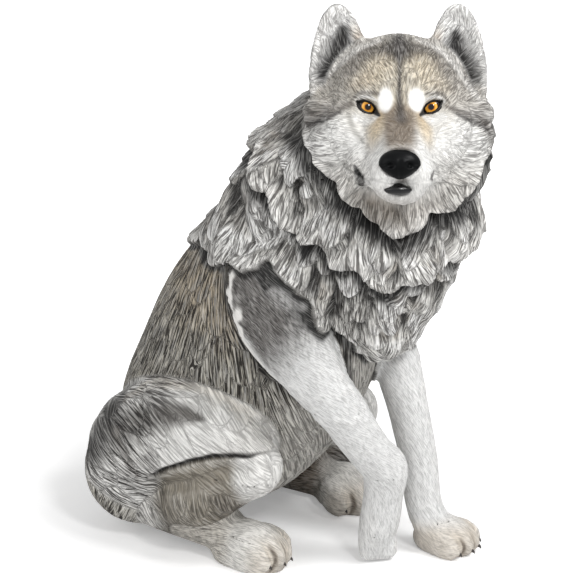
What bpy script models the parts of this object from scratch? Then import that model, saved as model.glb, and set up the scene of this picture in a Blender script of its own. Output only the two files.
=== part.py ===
"""Seated wolf figurine: one cast body with a pair of glass eyes set into it.

The wolf looks along -Y and sits on the ground plane z = 0. Its head is turned to its
own right. The body is built up like clay, in millimetres: balls and lofts for the
muscle masses are fused into one skin, tooled, dressed with locks of fur and thinned
to a light mesh. The last step scales it to metres and centres it on the origin.
"""

import math

import bmesh
import bpy
import numpy as np
from mathutils import Matrix, Vector
from mathutils.bvhtree import BVHTree

MM = 0.001

# Head: the point midway between the eyes, and where the face looks
EYE_LINE = Vector((-23.8, -59.5, 245.0))
HEAD_YAW = math.radians(-60.0)
HEAD_PITCH = math.radians(20.0)

# Glass eyes and the sockets that hold them
EYE_SPACING = 30.4
EYE_RADIUS = 6.2
EYE_SET_BACK = 5.4
SOCKET_GAP = 0.3
LID_OPENING_WIDTH = 10.4
LID_OPENING_HEIGHT = 6.6
LID_SLANT = math.radians(28.0)

# Ears
EAR_SPACING = 54.8
EAR_HALF_WIDTH = 14.6
EAR_FOOT = 11.0
EAR_TIP = 49.8
EAR_WALL = 4.4

# Locks of the mane, in collars that overlap like shingles
LOCK_ROWS = 8
LOCKS_AROUND = 19
LOCK_LENGTH = 24.0
LOCK_HALF_WIDTH = 6.8
LOCK_THICKNESS = 3.6
STEEP_ENOUGH = 0.6

# Claws
CLAW_LENGTH = 4.6
CLAW_RADIUS = 1.7

# Fusing and finishing
COARSE_VOXEL = 1.6
FINE_VOXEL = 1.1
BODY_TRIANGLES = 10300
SOLE_TOLERANCE = 0.3


def head_frame():
    """Matrix from head space (face along -Y, up +Z) to the figurine's own space."""
    turn = Matrix.Rotation(HEAD_YAW, 4, "Z") @ Matrix.Rotation(-HEAD_PITCH, 4, "X")
    return Matrix.Translation(EYE_LINE) @ turn


def smooth_path(spots, count):
    """Catmull-Rom interpolation of rows of numbers, through every row."""
    padded = np.vstack([2 * spots[0] - spots[1], spots, 2 * spots[-1] - spots[-2]])
    at = np.linspace(0, len(spots) - 1, count)
    step = np.minimum(at.astype(int), len(spots) - 2)
    t = (at - step)[:, None]
    a, b, c, d = (padded[step + k] for k in range(4))
    bend = (2 * a - 5 * b + 4 * c - d) * t**2 + (3 * b - a - 3 * c + d) * t**3
    return 0.5 * (2 * b + (c - a) * t + bend)


class Clay:
    """A lump of clay made of balls and tapers, which fuse() turns into one skin."""

    def __init__(self, name, frame=None):
        self.name = name
        self.bm = bmesh.new()
        self.frame = frame or Matrix.Identity(4)

    def ball(self, centre, radii, tilt=(0.0, 0.0, 0.0)):
        """An ellipsoid; tilt is its turn about X, Y and Z in degrees."""
        if not hasattr(radii, "__len__"):
            radii = (radii,) * 3
        turn = Matrix.Identity(4)
        for angle, axis in zip(tilt, "XYZ"):
            turn = Matrix.Rotation(math.radians(angle), 4, axis) @ turn
        place = self.frame @ Matrix.Translation(centre) @ turn @ Matrix.Diagonal((*radii, 1.0))
        bmesh.ops.create_uvsphere(self.bm, u_segments=32, v_segments=16, radius=1.0, matrix=place)

    def taper(self, start, end, start_radius, end_radius):
        """A round limb between two points, with a ball at each end."""
        start, end = Vector(start), Vector(end)
        self.ball(start, start_radius)
        self.ball(end, end_radius)
        along = end - start
        turn = along.to_track_quat("Z", "Y").to_matrix().to_4x4()
        place = self.frame @ Matrix.Translation((start + end) / 2) @ turn
        bmesh.ops.create_cone(
            self.bm, cap_ends=True, segments=32, radius1=start_radius, radius2=end_radius,
            depth=along.length, matrix=place,
        )

    def limb(self, *stations):
        """A run of tapers through (point, radius) stations."""
        for (a, ra), (b, rb) in zip(stations, stations[1:]):
            self.taper(a, b, ra, rb)

    def sweep(self, *stations, side=Vector((1, 0, 0)), rings=40, segments=40):
        """A loft of ellipses along a smooth path with round ends.

        Each station is (centre, half width along side, half depth across it).
        """
        spots = np.array([[*centre, wide, deep] for centre, wide, deep in stations], float)
        path = smooth_path(spots, rings)
        along = np.gradient(path[:, :3], axis=0)
        along /= np.linalg.norm(along, axis=1)[:, None]
        rounding = np.sin(np.linspace(0.12, 1.0, 6) * math.pi / 2)
        reach = np.cos(np.linspace(0.12, 1.0, 6) * math.pi / 2)
        head_end = [self.cap(path[0], -along[0], r, c) for r, c in zip(rounding, reach)]
        tail_end = [self.cap(path[-1], along[-1], r, c) for r, c in zip(rounding, reach)]
        path = np.array(head_end + list(path[1:-1]) + tail_end[::-1])
        along = np.concatenate([np.repeat(along[:1], 6, 0), along[1:-1], np.repeat(along[-1:], 6, 0)])
        wide = np.array(side) - along * (along @ np.array(side))[:, None]
        wide /= np.linalg.norm(wide, axis=1)[:, None]
        deep = np.cross(along, wide)
        turn = np.linspace(0, 2 * math.pi, segments, endpoint=False)
        ring = (
            path[:, None, :3]
            + np.cos(turn)[None, :, None] * (wide * path[:, 3:4])[:, None]
            + np.sin(turn)[None, :, None] * (deep * path[:, 4:5])[:, None]
        )
        verts = [[self.bm.verts.new(self.frame @ Vector(p)) for p in row] for row in ring]
        for low, high in zip(verts, verts[1:]):
            for i in range(segments):
                j = (i + 1) % segments
                self.bm.faces.new((low[i], low[j], high[j], high[i]))
        self.bm.faces.new(verts[0][::-1])
        self.bm.faces.new(verts[-1])

    @staticmethod
    def cap(station, outward, share, reach):
        """One ring of a rounded end: narrower and further out than its station."""
        radius = min(station[3], station[4])
        centre = station[:3] + outward * radius * reach
        return [*centre, station[3] * share, station[4] * share]

    def add(self, obj):
        """Takes in the mesh of a finished object and removes the object."""
        self.bm.from_mesh(obj.data)
        bpy.data.objects.remove(obj)

    def fuse(self, voxel, smoothing):
        """One closed skin over everything so far, relaxed by smoothing passes."""
        mesh = bpy.data.meshes.new(self.name)
        self.bm.to_mesh(mesh)
        self.bm.free()
        obj = bpy.data.objects.new(self.name, mesh)
        bpy.context.scene.collection.objects.link(obj)
        remesh = obj.modifiers.new("fuse", "REMESH")
        remesh.mode = "VOXEL"
        remesh.voxel_size = voxel
        if smoothing:
            relax = obj.modifiers.new("relax", "SMOOTH")
            relax.factor = 0.5
            relax.iterations = smoothing
        return applied(obj)


def applied(obj):
    """The same object with its modifiers worked into its mesh."""
    graph = bpy.context.evaluated_depsgraph_get()
    mesh = bpy.data.meshes.new_from_object(obj.evaluated_get(graph))
    obj.modifiers.clear()
    obj.data = mesh
    return obj


def points_of(obj):
    """The object's vertices as an array."""
    points = np.empty(len(obj.data.vertices) * 3, np.float32)
    obj.data.vertices.foreach_get("co", points)
    return points.reshape(-1, 3).astype(float)


def normals_of(obj):
    """The object's vertex normals as an array."""
    normals = np.empty(len(obj.data.vertices) * 3, np.float32)
    obj.data.vertices.foreach_get("normal", normals)
    return normals.reshape(-1, 3).astype(float)


def set_points(obj, points):
    """Moves the object's vertices to new points."""
    obj.data.vertices.foreach_set("co", points.astype(np.float32).ravel())
    obj.data.update()


def press(obj, frame, centre, radii, move):
    """A rounded tool pressed into the clay: points near centre shift by move."""
    points = points_of(obj)
    inverse = np.array(frame.inverted())
    local = points @ inverse[:3, :3].T + inverse[:3, 3]
    reach = ((local - np.array(centre)) / np.array(radii)) ** 2
    weight = np.clip(1.0 - reach.sum(1), 0.0, 1.0) ** 2
    shift = np.array(frame.to_3x3()) @ np.array(move)
    set_points(obj, points + weight[:, None] * shift)


def groove(obj, spots, width, depth):
    """A groove of this width and depth drawn along a smooth path through the spots."""
    points, normals = points_of(obj), normals_of(obj)
    path = smooth_path(np.array(spots, float), 40)
    gap = np.full(len(points), 1e9)
    for spot in path:
        gap = np.minimum(gap, ((points - spot) ** 2).sum(1))
    weight = np.clip(1.0 - gap / width**2, 0.0, 1.0) ** 2
    set_points(obj, points - normals * (weight * depth)[:, None])


def trunk():
    """Rump, belly, chest and the root of the neck, from the ground upwards."""
    clay = Clay("trunk")
    clay.sweep(
        ((0, 82, 21), 34, 28),
        ((0, 67, 46), 39, 48),
        ((0, 45, 76), 40, 57),
        ((0, 25, 110), 41, 59),
        ((0, 9, 142), 40, 52),
        ((0, -7, 170), 35, 42),
        ((2, -21, 196), 32, 33),
        ((6, -32, 218), 28, 28),
    )
    return clay.fuse(COARSE_VOXEL, 10)


def haunch(side, knee, hock, ankle):
    """A folded hind leg: thigh, shank and the long foot bone down to the ankle."""
    clay = Clay("haunch")
    clay.sweep(
        ((side * 29, 92, 40), 20, 25),
        ((side * 36, 75, 50), 25, 31),
        ((side * 40, 50, 58), 25, 31),
        ((side * 43, 26, 61), 21, 24),
        (knee, 15, 16),
    )
    clay.ball((side * 34, 84, 34), (25, 28, 29))
    clay.limb((knee, 14), ((side * 48, 38, 35), 17), (hock, 12))
    clay.limb((hock, 12), (ankle, 12))
    return clay.fuse(COARSE_VOXEL, 8)


def paw(heel, toes, width, height):
    """A foot on the ground: a wrist mass and four toes side by side, each with its claw."""
    heel, toes = Vector(heel), Vector(toes)
    clay = Clay("paw")
    along = (toes - heel).normalized()
    side = along.cross(Vector((0, 0, 1))).normalized()
    middle = heel.lerp(toes, 0.5)
    turn = math.degrees(math.atan2(along.y, along.x))
    reach = (toes - heel).length
    clay.ball(middle, (reach * 0.5, width * 0.44, height * 0.72), (0, 0, turn))
    toe_width = width / 3.6
    for step, back in ((-1.5, 0.16), (-0.5, 0.0), (0.5, 0.0), (1.5, 0.16)):
        length = reach * 0.33
        centre = toes - along * (length * 0.8 + back * length * 2) + side * (step * toe_width * 0.95)
        centre.z = height * 0.36
        clay.ball(centre, (length, toe_width * 0.53, height * 0.42), (0, 8, turn - step * 6))
        knuckle = centre + along * (length * 0.82) + Vector((0, 0, height * 0.02))
        tip = knuckle + along * (CLAW_LENGTH * 0.8) - Vector((0, 0, CLAW_LENGTH * 0.6))
        clay.taper(knuckle, tip, CLAW_RADIUS, CLAW_RADIUS * 0.4)
    return clay.fuse(FINE_VOXEL * 0.8, 1)


def forelegs():
    """Both forelegs; the right one is lifted to the tips of its toes."""
    clay = Clay("forelegs")
    clay.sweep(
        ((-26, 8, 160), 18, 26),
        ((-34, 4, 142), 17, 24),
        ((-37, -8, 124), 15, 20),
        ((-35, -20, 106), 13, 15),
        ((-29, -31, 88), 12, 12.5),
        ((-17, -43, 63), 11, 11),
        ((-10, -47, 53), 12, 11.5),
        ((-8, -45, 38), 10.6, 10),
        ((-6, -42, 22), 12, 10),
        ((-5, -39, 12), 10.5, 8.5),
    )
    for step in (-1.5, -0.5, 0.5, 1.5):
        clay.ball((-7 + step * 3.2, -42 - step * 3.6, 7), (3.6, 3.6, 7.5))
    clay.sweep(
        ((24, -8, 150), 18, 26),
        ((26, -22, 124), 15, 18),
        ((23, -34, 99), 12, 12),
        ((21, -43, 74), 10.5, 10.5),
        ((20, -50, 48), 9.6, 9.8),
        ((18, -54, 26), 9.4, 9.4),
        ((20, -58, 14), 10.5, 9.5),
    )
    return clay.fuse(COARSE_VOXEL * 0.75, 5)


def ruff():
    """The thick neck and chest under the mane."""
    clay = Clay("ruff")
    clay.sweep(
        ((-5, -37, 112), 4, 4),
        ((-2, -37, 123), 14, 13),
        ((1, -36, 138), 25, 24),
        ((3, -36, 156), 34, 32),
        ((5, -36, 174), 40, 37),
        ((6, -38, 192), 40, 38),
        ((6, -40, 210), 38, 36),
        ((6, -42, 226), 34, 32),
    )
    clay.sweep(
        ((-2, 28, 158), 35, 20),
        ((-2, 14, 178), 36, 25),
        ((0, -2, 200), 36, 27),
        ((4, -16, 221), 30, 24),
        ((9, -26, 236), 23, 18),
    )
    return clay.fuse(COARSE_VOXEL, 10)


def head():
    """Skull, cheeks, brows, muzzle, jaw and nose, in head space."""
    clay = Clay("head", head_frame())
    clay.ball((0, 25, 3.8), (34, 32, 33))
    clay.ball((0, 23.5, -12), (47, 18, 35))
    for side in (-1, 1):
        clay.ball((side * 21, 13, -13), (19, 16, 17))
        clay.ball((side * 25, 22, -26), (19, 15, 20))
        clay.ball((side * 10.5, 3.5, 7), (11, 8.5, 7.5))
        clay.ball((side * 15, 3, -23), (10, 12, 13))
        clay.ball((side * 7.0, -24, -30), (8.4, 13, 8.8), (12, 0, side * 6))
    clay.sweep(
        ((0, 8, -7), 17, 16),
        ((0, -5, -14), 15.5, 14),
        ((0, -19, -20), 13, 11.5),
        ((0, -32, -25), 10, 8),
    )
    clay.sweep(((0, 2, -34), 13, 9), ((0, -14, -37.5), 10.5, 7), ((0, -24, -39.8), 8.5, 5))
    clay.ball((0, -37, -27), (9.6, 6.6, 7.0))
    return clay.fuse(FINE_VOXEL, 4)


def ear(side):
    """A cupped sheet, wide at the base and round at the tip, open to the front."""
    across, up = np.meshgrid(np.linspace(-1, 1, 17), np.linspace(-0.35, 1, 25))
    rise = np.clip(up, 0, 1)
    flare = np.sqrt(np.clip(1 - rise**1.9, 0, 1)) * (1 + 0.35 * np.minimum(up, 0))
    x = side * (EAR_SPACING / 2 + 1.2 * up) + across * EAR_HALF_WIDTH * flare
    z = EAR_FOOT + (EAR_TIP - EAR_FOOT) * up
    y = 25 - 9 * np.abs(across) ** 2 * (1 - 0.5 * rise) + 2 * up
    grid = np.stack([x, y, z], -1).reshape(-1, 3)
    rows, cols = across.shape
    first = (np.arange(rows - 1)[:, None] * cols + np.arange(cols - 1)).ravel()
    faces = np.stack([first, first + 1, first + cols + 1, first + cols], 1)
    mesh = bpy.data.meshes.new("ear")
    mesh.from_pydata(grid.tolist(), [], faces.tolist())
    mesh.transform(head_frame())
    obj = bpy.data.objects.new("ear", mesh)
    bpy.context.scene.collection.objects.link(obj)
    wall = obj.modifiers.new("wall", "SOLIDIFY")
    wall.thickness = EAR_WALL
    wall.offset = 0
    return applied(obj)


def tail():
    """The tail lies on the ground, curled round the left haunch."""
    clay = Clay("tail")
    clay.sweep(
        ((6, 96, 32), 12, 12),
        ((24, 108, 16), 12, 12),
        ((48, 104, 10.5), 12.5, 12),
        ((68, 86, 9.5), 13, 11.5),
        ((79, 60, 9.5), 13, 11.5),
        ((80, 34, 8.5), 11, 10),
        ((75, 14, 6), 6, 6),
    )
    return clay.fuse(COARSE_VOXEL, 6)


def mane_edge(angle):
    """Height of the mane's lower edge at this angle from the front of the chest."""
    turn = abs(math.degrees(angle))
    rise = min(max((turn - 40) / 70, 0.0), 1.0) ** 1.6
    return 112 + 48 * rise


def cheek_locks():
    """A ring of locks round the face, from ear to chin to ear, swept back and down."""
    clay = Clay("cheek locks", head_frame())
    random = np.random.default_rng(3)
    for ring, (reach, start) in enumerate(((0.62, 7), (0.82, 13))):
        count = 17 + 4 * ring
        for step in range(count):
            angle = math.radians(62 + (step + random.uniform(-0.25, 0.25)) / (count - 1) * 236)
            radial = Vector((math.sin(angle), 0.0, math.cos(angle)))
            if abs(radial.x) < 0.3 and ring == 0:
                continue
            hit = Vector((47 * reach * radial.x, start, -12 + 35 * reach * radial.z))
            flow = (radial * 0.75 + Vector((0, 0.8, -0.4))).normalized()
            normal = (radial + Vector((0, -1.3, 0))).normalized()
            normal = (normal - flow * normal.dot(flow)).normalized()
            side = flow.cross(normal)
            length = LOCK_LENGTH * random.uniform(0.6, 0.8)
            width = LOCK_HALF_WIDTH * random.uniform(0.6, 0.8)
            clay.sweep(
                (hit - flow * 4 - normal * 1.5, width * 0.5, 1.5),
                (hit + flow * length * 0.3, width, 2.0),
                (hit + flow * length * 0.7, width * 0.7, 1.8),
                (hit + flow * length + normal * 0.4, 0.8, 0.8),
                side=side, rings=8, segments=10,
            )
    return clay.fuse(FINE_VOXEL * 0.8, 1)


def mane_locks(form):
    """Leaf-shaped locks of fur laid over the neck and chest, each row over the one below."""
    tree = BVHTree.FromObject(form, bpy.context.evaluated_depsgraph_get())
    clay = Clay("mane locks")
    random = np.random.default_rng(7)
    for row in range(LOCK_ROWS):
        share = row / (LOCK_ROWS - 1)
        for step in range(LOCKS_AROUND):
            turn = (step + 0.5 * (row % 2) + random.uniform(-0.2, 0.2)) / LOCKS_AROUND
            angle = (turn - 0.5) * 2 * math.pi
            outward = Vector((math.sin(angle), -math.cos(angle), 0))
            front = 0.5 + 0.5 * math.cos(angle)
            low = mane_edge(angle) + LOCK_LENGTH * 0.8
            high = 240 - 38 * front
            centre = Vector((3, -22 - 10 * share, low + (high - low) * share))
            hit, normal, _, _ = tree.ray_cast(centre, outward)
            if hit is None or normal.z > STEEP_ENOUGH:
                continue
            sway = Vector((random.uniform(-0.3, 0.3), random.uniform(-0.3, 0.3), 0))
            fall = Vector((0, 0, -1)) + outward * 0.2 + sway
            flow = (fall - normal * fall.dot(normal)).normalized()
            side = flow.cross(normal).normalized()
            proud = 1.2 if row % 3 == 0 else 0.0
            length = LOCK_LENGTH * random.uniform(0.85, 1.15)
            width = LOCK_HALF_WIDTH * random.uniform(0.85, 1.15)
            bend = side * random.uniform(-2.5, 2.5)
            lift = normal * proud
            clay.sweep(
                (hit - flow * 5 - normal * 2.5, width * 0.5, LOCK_THICKNESS * 0.6),
                (hit + flow * length * 0.2 - normal * 0.6 + lift, width, LOCK_THICKNESS),
                (hit + flow * length * 0.5 + bend * 0.3 + lift, width * 0.9, LOCK_THICKNESS),
                (hit + flow * length * 0.8 + bend + normal * 1.2 + lift, width * 0.55, LOCK_THICKNESS * 0.7),
                (hit + flow * length + bend * 0.6 + normal + lift, 0.9, 0.8),
                side=side, rings=9, segments=10,
            )
    return clay.fuse(FINE_VOXEL * 0.8, 1)


def tool_face(obj):
    """Hollows round the eyes, the furrow of the forehead, the nostrils and the mouth."""
    frame = head_frame()
    for side in (-1, 1):
        press(obj, frame, (side * 4.4, -44, -28), (3.2, 4.5, 2.8), (0, 3.0, 0))
        press(obj, frame, (side * 9, -6, -6), (6, 10, 8), (0, 2.5, 0))
        press(obj, frame, (side * 18, -8, -31), (5, 12, 5), (-side * 1.5, 3.5, 0))
    press(obj, frame, (0, -8, 12), (5, 10, 20), (0, 1.6, 0))
    press(obj, frame, (0, -30, -39.5), (8, 10, 2.6), (0, 4.0, 0))


def tool_body(obj):
    """Creases of the folded right leg and behind the right shoulder."""
    thigh_crease = ((-62, 2, 61), (-66, 22, 53), (-66, 42, 45), (-62, 58, 39))
    groove(obj, thigh_crease, 6, 5.0)
    shoulder_crease = ((-46, 30, 138), (-50, 8, 112), (-44, -12, 92), (-34, -24, 76))
    groove(obj, shoulder_crease, 5.5, 3.0)


def build_body():
    """The whole body in millimetres, before it is cut flat and thinned."""
    torso = Clay("torso")
    torso.add(trunk())
    torso.add(ruff())
    torso.add(forelegs())
    torso = torso.fuse(FINE_VOXEL, 6)
    forms = Clay("forms")
    forms.add(haunch(-1, (-47, 7, 56), (-38, 68, 18), (-41, 28, 16)))
    forms.add(haunch(1, (46, 4, 54), (52, 66, 12), (50, 26, 12)))
    forms.add(head())
    forms.add(ear(-1))
    forms.add(ear(1))
    forms.add(tail())
    forms.add(paw((-42, 34, 9), (-40, -7, 3), 27, 25))
    forms.add(paw((58, 26, 8), (40, -12, 3), 34, 22))
    forms.add(paw((24, -46, 8), (24, -80, 3), 27, 18))
    forms.bm.from_mesh(torso.data)
    whole = Clay("body")
    whole.add(forms.fuse(FINE_VOXEL, 4))
    whole.add(mane_locks(torso))
    whole.add(cheek_locks())
    bpy.data.objects.remove(torso)
    body = whole.fuse(FINE_VOXEL, 1)
    tool_face(body)
    tool_body(body)
    return body


def cut_flat(obj):
    """Cuts the figurine off at the ground plane and closes the flat underside."""
    bm = bmesh.new()
    bm.from_mesh(obj.data)
    everything = bm.verts[:] + bm.edges[:] + bm.faces[:]
    bmesh.ops.bisect_plane(
        bm, geom=everything, dist=1e-5, plane_co=(0, 0, 0), plane_no=(0, 0, -1), clear_outer=True
    )
    rim = [edge for edge in bm.edges if edge.is_boundary]
    bmesh.ops.holes_fill(bm, edges=rim, sides=0)
    bmesh.ops.triangulate(bm, faces=bm.faces[:])
    bm.to_mesh(obj.data)
    bm.free()


def thin(obj, triangles):
    """Collapses edges until this many triangles are left, with flat parts going first."""
    count = sum(len(face.vertices) - 2 for face in obj.data.polygons)
    collapse = obj.modifiers.new("thin", "DECIMATE")
    collapse.ratio = triangles / count
    collapse.use_collapse_triangulate = True
    return applied(obj)


def level_soles(obj):
    """Sets every point that lies close to the ground exactly on it."""
    points = points_of(obj)
    points[points[:, 2] < SOLE_TOLERANCE, 2] = 0.0
    set_points(obj, points)


def finish(name, colour, roughness, coat=0.0):
    """A Principled material."""
    material = bpy.data.materials.new(name)
    material.use_nodes = True
    shader = material.node_tree.nodes["Principled BSDF"]
    shader.inputs["Base Color"].default_value = (*colour, 1.0)
    shader.inputs["Roughness"].default_value = roughness
    shader.inputs["Metallic"].default_value = 0.0
    shader.inputs["Coat Weight"].default_value = coat
    return material


def eye_centre(side):
    """Centre of a glass eye in the figurine's own space."""
    return head_frame() @ Vector((side * EYE_SPACING / 2, EYE_SET_BACK, 0))


def rounded(name, place):
    """A unit sphere carried to its place by a matrix in millimetres, shaded smooth."""
    bm = bmesh.new()
    bmesh.ops.create_uvsphere(bm, u_segments=18, v_segments=10, radius=1.0, matrix=place)
    mesh = bpy.data.meshes.new(name)
    bm.to_mesh(mesh)
    bm.free()
    mesh.shade_smooth()
    return bpy.data.objects.new(name, mesh)


def eye_cutters(side):
    """Places of the round socket and of the slanting almond between the lids."""
    centre = eye_centre(side)
    socket = Matrix.Translation(centre) @ Matrix.Scale(EYE_RADIUS + SOCKET_GAP, 4)
    slant = Matrix.Rotation(-side * LID_SLANT, 4, "Y")
    almond = Matrix.Diagonal((LID_OPENING_WIDTH / 2, EYE_RADIUS * 2, LID_OPENING_HEIGHT / 2, 1))
    ahead = head_frame() @ Matrix.Translation((side * EYE_SPACING / 2, EYE_SET_BACK - EYE_RADIUS, 0))
    return socket, ahead @ slant @ almond


def collection(name):
    """A new collection in the scene."""
    group = bpy.data.collections.new(name)
    bpy.context.scene.collection.children.link(group)
    return group


def main():
    """Builds the body, cuts it flat, and sets the eyes into their sockets."""
    for obj in list(bpy.data.objects):
        bpy.data.objects.remove(obj)
    figurine = collection("wolf_figurine")
    cutters = collection("cutters")

    body = build_body()
    cut_flat(body)
    body = thin(body, BODY_TRIANGLES)
    level_soles(body)
    body.name = "wolf_body"
    body.data.shade_smooth()
    body.data.materials.append(finish("painted resin", (0.47, 0.44, 0.40), 0.75))
    bpy.context.scene.collection.objects.unlink(body)
    figurine.objects.link(body)

    points = points_of(body)
    middle = (points.min(0) + points.max(0)) / 2
    to_metres = Matrix.Scale(MM, 4) @ Matrix.Translation((-middle[0], -middle[1], 0))
    amber = finish("amber glass", (0.62, 0.25, 0.03), 0.08, coat=1.0)
    for side, name in ((-1, "eye_right"), (1, "eye_left")):
        eye = rounded(name, to_metres @ Matrix.Translation(eye_centre(side)) @ Matrix.Scale(EYE_RADIUS, 4))
        eye.data.materials.append(amber)
        figurine.objects.link(eye)
        for number, place in enumerate(eye_cutters(side)):
            cutter = rounded(f"{name}_cutter_{number}", to_metres @ place)
            cutter.hide_render = True
            cutter.display_type = "WIRE"
            cutters.objects.link(cutter)
            hollow = body.modifiers.new(cutter.name, "BOOLEAN")
            hollow.operation = "DIFFERENCE"
            hollow.solver = "EXACT"
            hollow.object = cutter
    body.data.transform(to_metres)


if __name__ == "__main__":
    main()
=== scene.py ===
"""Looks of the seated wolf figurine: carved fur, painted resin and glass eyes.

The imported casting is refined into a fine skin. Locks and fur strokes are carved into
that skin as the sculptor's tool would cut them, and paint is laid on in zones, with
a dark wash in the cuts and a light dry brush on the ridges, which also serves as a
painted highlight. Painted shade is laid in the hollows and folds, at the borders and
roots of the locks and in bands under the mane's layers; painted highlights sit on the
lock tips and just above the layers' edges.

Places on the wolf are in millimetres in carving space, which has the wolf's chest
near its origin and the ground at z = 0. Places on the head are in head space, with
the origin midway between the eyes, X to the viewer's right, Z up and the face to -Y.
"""

import logging
import math
from dataclasses import dataclass
from enum import Enum

import bmesh
import bpy
import numpy as np
from mathutils import Matrix, Vector


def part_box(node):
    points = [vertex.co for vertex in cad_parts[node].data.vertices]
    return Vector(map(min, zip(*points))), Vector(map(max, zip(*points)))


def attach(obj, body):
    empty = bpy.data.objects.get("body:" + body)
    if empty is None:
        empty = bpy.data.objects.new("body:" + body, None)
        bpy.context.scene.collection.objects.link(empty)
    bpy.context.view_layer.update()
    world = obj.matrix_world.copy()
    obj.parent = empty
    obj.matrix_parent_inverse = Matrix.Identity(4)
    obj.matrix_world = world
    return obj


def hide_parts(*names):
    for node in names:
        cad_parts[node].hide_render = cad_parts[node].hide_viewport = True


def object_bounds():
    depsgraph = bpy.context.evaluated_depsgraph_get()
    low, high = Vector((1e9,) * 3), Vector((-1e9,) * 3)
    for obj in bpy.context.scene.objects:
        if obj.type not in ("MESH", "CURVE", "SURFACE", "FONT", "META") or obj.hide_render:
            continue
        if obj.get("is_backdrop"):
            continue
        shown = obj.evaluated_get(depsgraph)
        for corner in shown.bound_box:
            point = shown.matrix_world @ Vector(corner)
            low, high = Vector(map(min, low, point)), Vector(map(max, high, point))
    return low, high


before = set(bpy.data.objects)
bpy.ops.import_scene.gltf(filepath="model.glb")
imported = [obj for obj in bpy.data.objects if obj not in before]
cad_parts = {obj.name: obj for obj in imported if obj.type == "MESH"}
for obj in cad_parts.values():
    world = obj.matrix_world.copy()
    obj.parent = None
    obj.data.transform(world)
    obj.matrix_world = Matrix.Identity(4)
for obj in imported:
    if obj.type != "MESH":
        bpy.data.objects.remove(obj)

log = logging.getLogger("wolf")
Array = np.ndarray
Socket = bpy.types.NodeSocket

MM = 0.001
HAIR_STRETCH = 0.07
NOISE_VALUES = 4096


def smooth_step(value: Array, low: float, high: float) -> Array:
    """Rises from 0 at low to 1 at high with flat ends: t * t * (3 - 2 t).

    Args:
        value: Any array of numbers.
        low: Where the step starts; it may lie above high for a falling step.
        high: Where the step is complete.

    Returns:
        The step for each number, from 0 to 1.
    """
    t = np.clip((value - low) / (high - low), 0.0, 1.0)
    return t * t * (3.0 - 2.0 * t)


def unit(vectors: Array) -> Array:
    """The same vectors at length 1, row by row."""
    return vectors / np.maximum(np.linalg.norm(vectors, axis=-1, keepdims=True), 1e-9)


def ball(points: Array, centre: tuple, radii: tuple) -> Array:
    """A soft spot: 1 at the centre, 0 from the ellipsoid's surface outwards.

    Args:
        points: Rows of places.
        centre: Middle of the ellipsoid.
        radii: Its three half axes.

    Returns:
        (1 - d squared) squared, with d the distance as a share of the radius.
    """
    reach = (((points - np.array(centre)) / np.array(radii)) ** 2).sum(1)
    return np.clip(1.0 - reach, 0.0, 1.0) ** 2


def lattice_key(cells: Array) -> Array:
    """A number for each lattice cell: its coordinates times large primes, mixed by exclusive or."""
    return cells[:, 0] * 73856093 ^ cells[:, 1] * 19349663 ^ cells[:, 2] * 83492791


def tilted(x: Array, z: Array, degrees: float) -> tuple[Array, Array]:
    """Flat coordinates along and across a direction that is turned by an angle."""
    angle = math.radians(degrees)
    return x * math.cos(angle) + z * math.sin(angle), z * math.cos(angle) - x * math.sin(angle)


def value_noise(points: Array, scale: float, seed: int) -> Array:
    """Smooth noise from -1 to 1: random numbers on a cubic lattice, blended between corners.

    Args:
        points: Rows of places in millimetres.
        scale: Edge of a lattice cell in millimetres.
        seed: Picks the random numbers.

    Returns:
        One number for each point.
    """
    table = np.random.default_rng(seed).uniform(-1.0, 1.0, NOISE_VALUES)
    at = points / scale + 100.0
    cell = np.floor(at).astype(np.int64)
    t = at - cell
    t = t * t * (3.0 - 2.0 * t)
    total = np.zeros(len(points))
    for corner in range(8):
        step = np.array([corner & 1, corner >> 1 & 1, corner >> 2 & 1])
        share = np.where(step, t, 1.0 - t).prod(1)
        total += share * table[lattice_key(cell + step) & NOISE_VALUES - 1]
    return total


def smooth_path(spots: Array, count: int) -> Array:
    """Catmull-Rom interpolation of rows of numbers, through every row."""
    padded = np.vstack([2 * spots[0] - spots[1], spots, 2 * spots[-1] - spots[-2]])
    at = np.linspace(0, len(spots) - 1, count)
    step = np.minimum(at.astype(int), len(spots) - 2)
    t = (at - step)[:, None]
    a, b, c, d = (padded[step + k] for k in range(4))
    bend = (2 * a - 5 * b + 4 * c - d) * t**2 + (3 * b - a - 3 * c + d) * t**3
    return 0.5 * (2 * b + (c - a) * t + bend)


@dataclass(frozen=True)
class Pose:
    """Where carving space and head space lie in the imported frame.

    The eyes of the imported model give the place: they sit at known spots of the head.
    """

    eye_line: tuple = (-23.8, -59.5, 245.0)
    yaw: float = math.radians(-60.0)
    pitch: float = math.radians(20.0)
    eye_set_back: float = 5.4

    def turn(self) -> Array:
        """Rotation from head space to carving space: the pitch, then the yaw."""
        turn = Matrix.Rotation(self.yaw, 3, "Z") @ Matrix.Rotation(-self.pitch, 3, "X")
        return np.array(turn)

    def shift(self) -> Array:
        """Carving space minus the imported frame, in millimetres."""
        middles = [sum(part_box(name), Vector()) / 2 for name in ("eye_left", "eye_right")]
        found = np.array((middles[0] + middles[1]) / 2) / MM
        wanted = np.array(self.eye_line) + self.turn() @ np.array([0.0, self.eye_set_back, 0.0])
        return wanted - found

    def to_head(self, points: Array) -> Array:
        """Carving space to head space."""
        return (points - np.array(self.eye_line)) @ self.turn()

    def from_head(self, points: Array) -> Array:
        """Head space to carving space."""
        return np.asarray(points, float) @ self.turn().T + np.array(self.eye_line)

    def to_frame(self, points: Array) -> Array:
        """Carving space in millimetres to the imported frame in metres."""
        return (points - self.shift()) * MM


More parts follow.
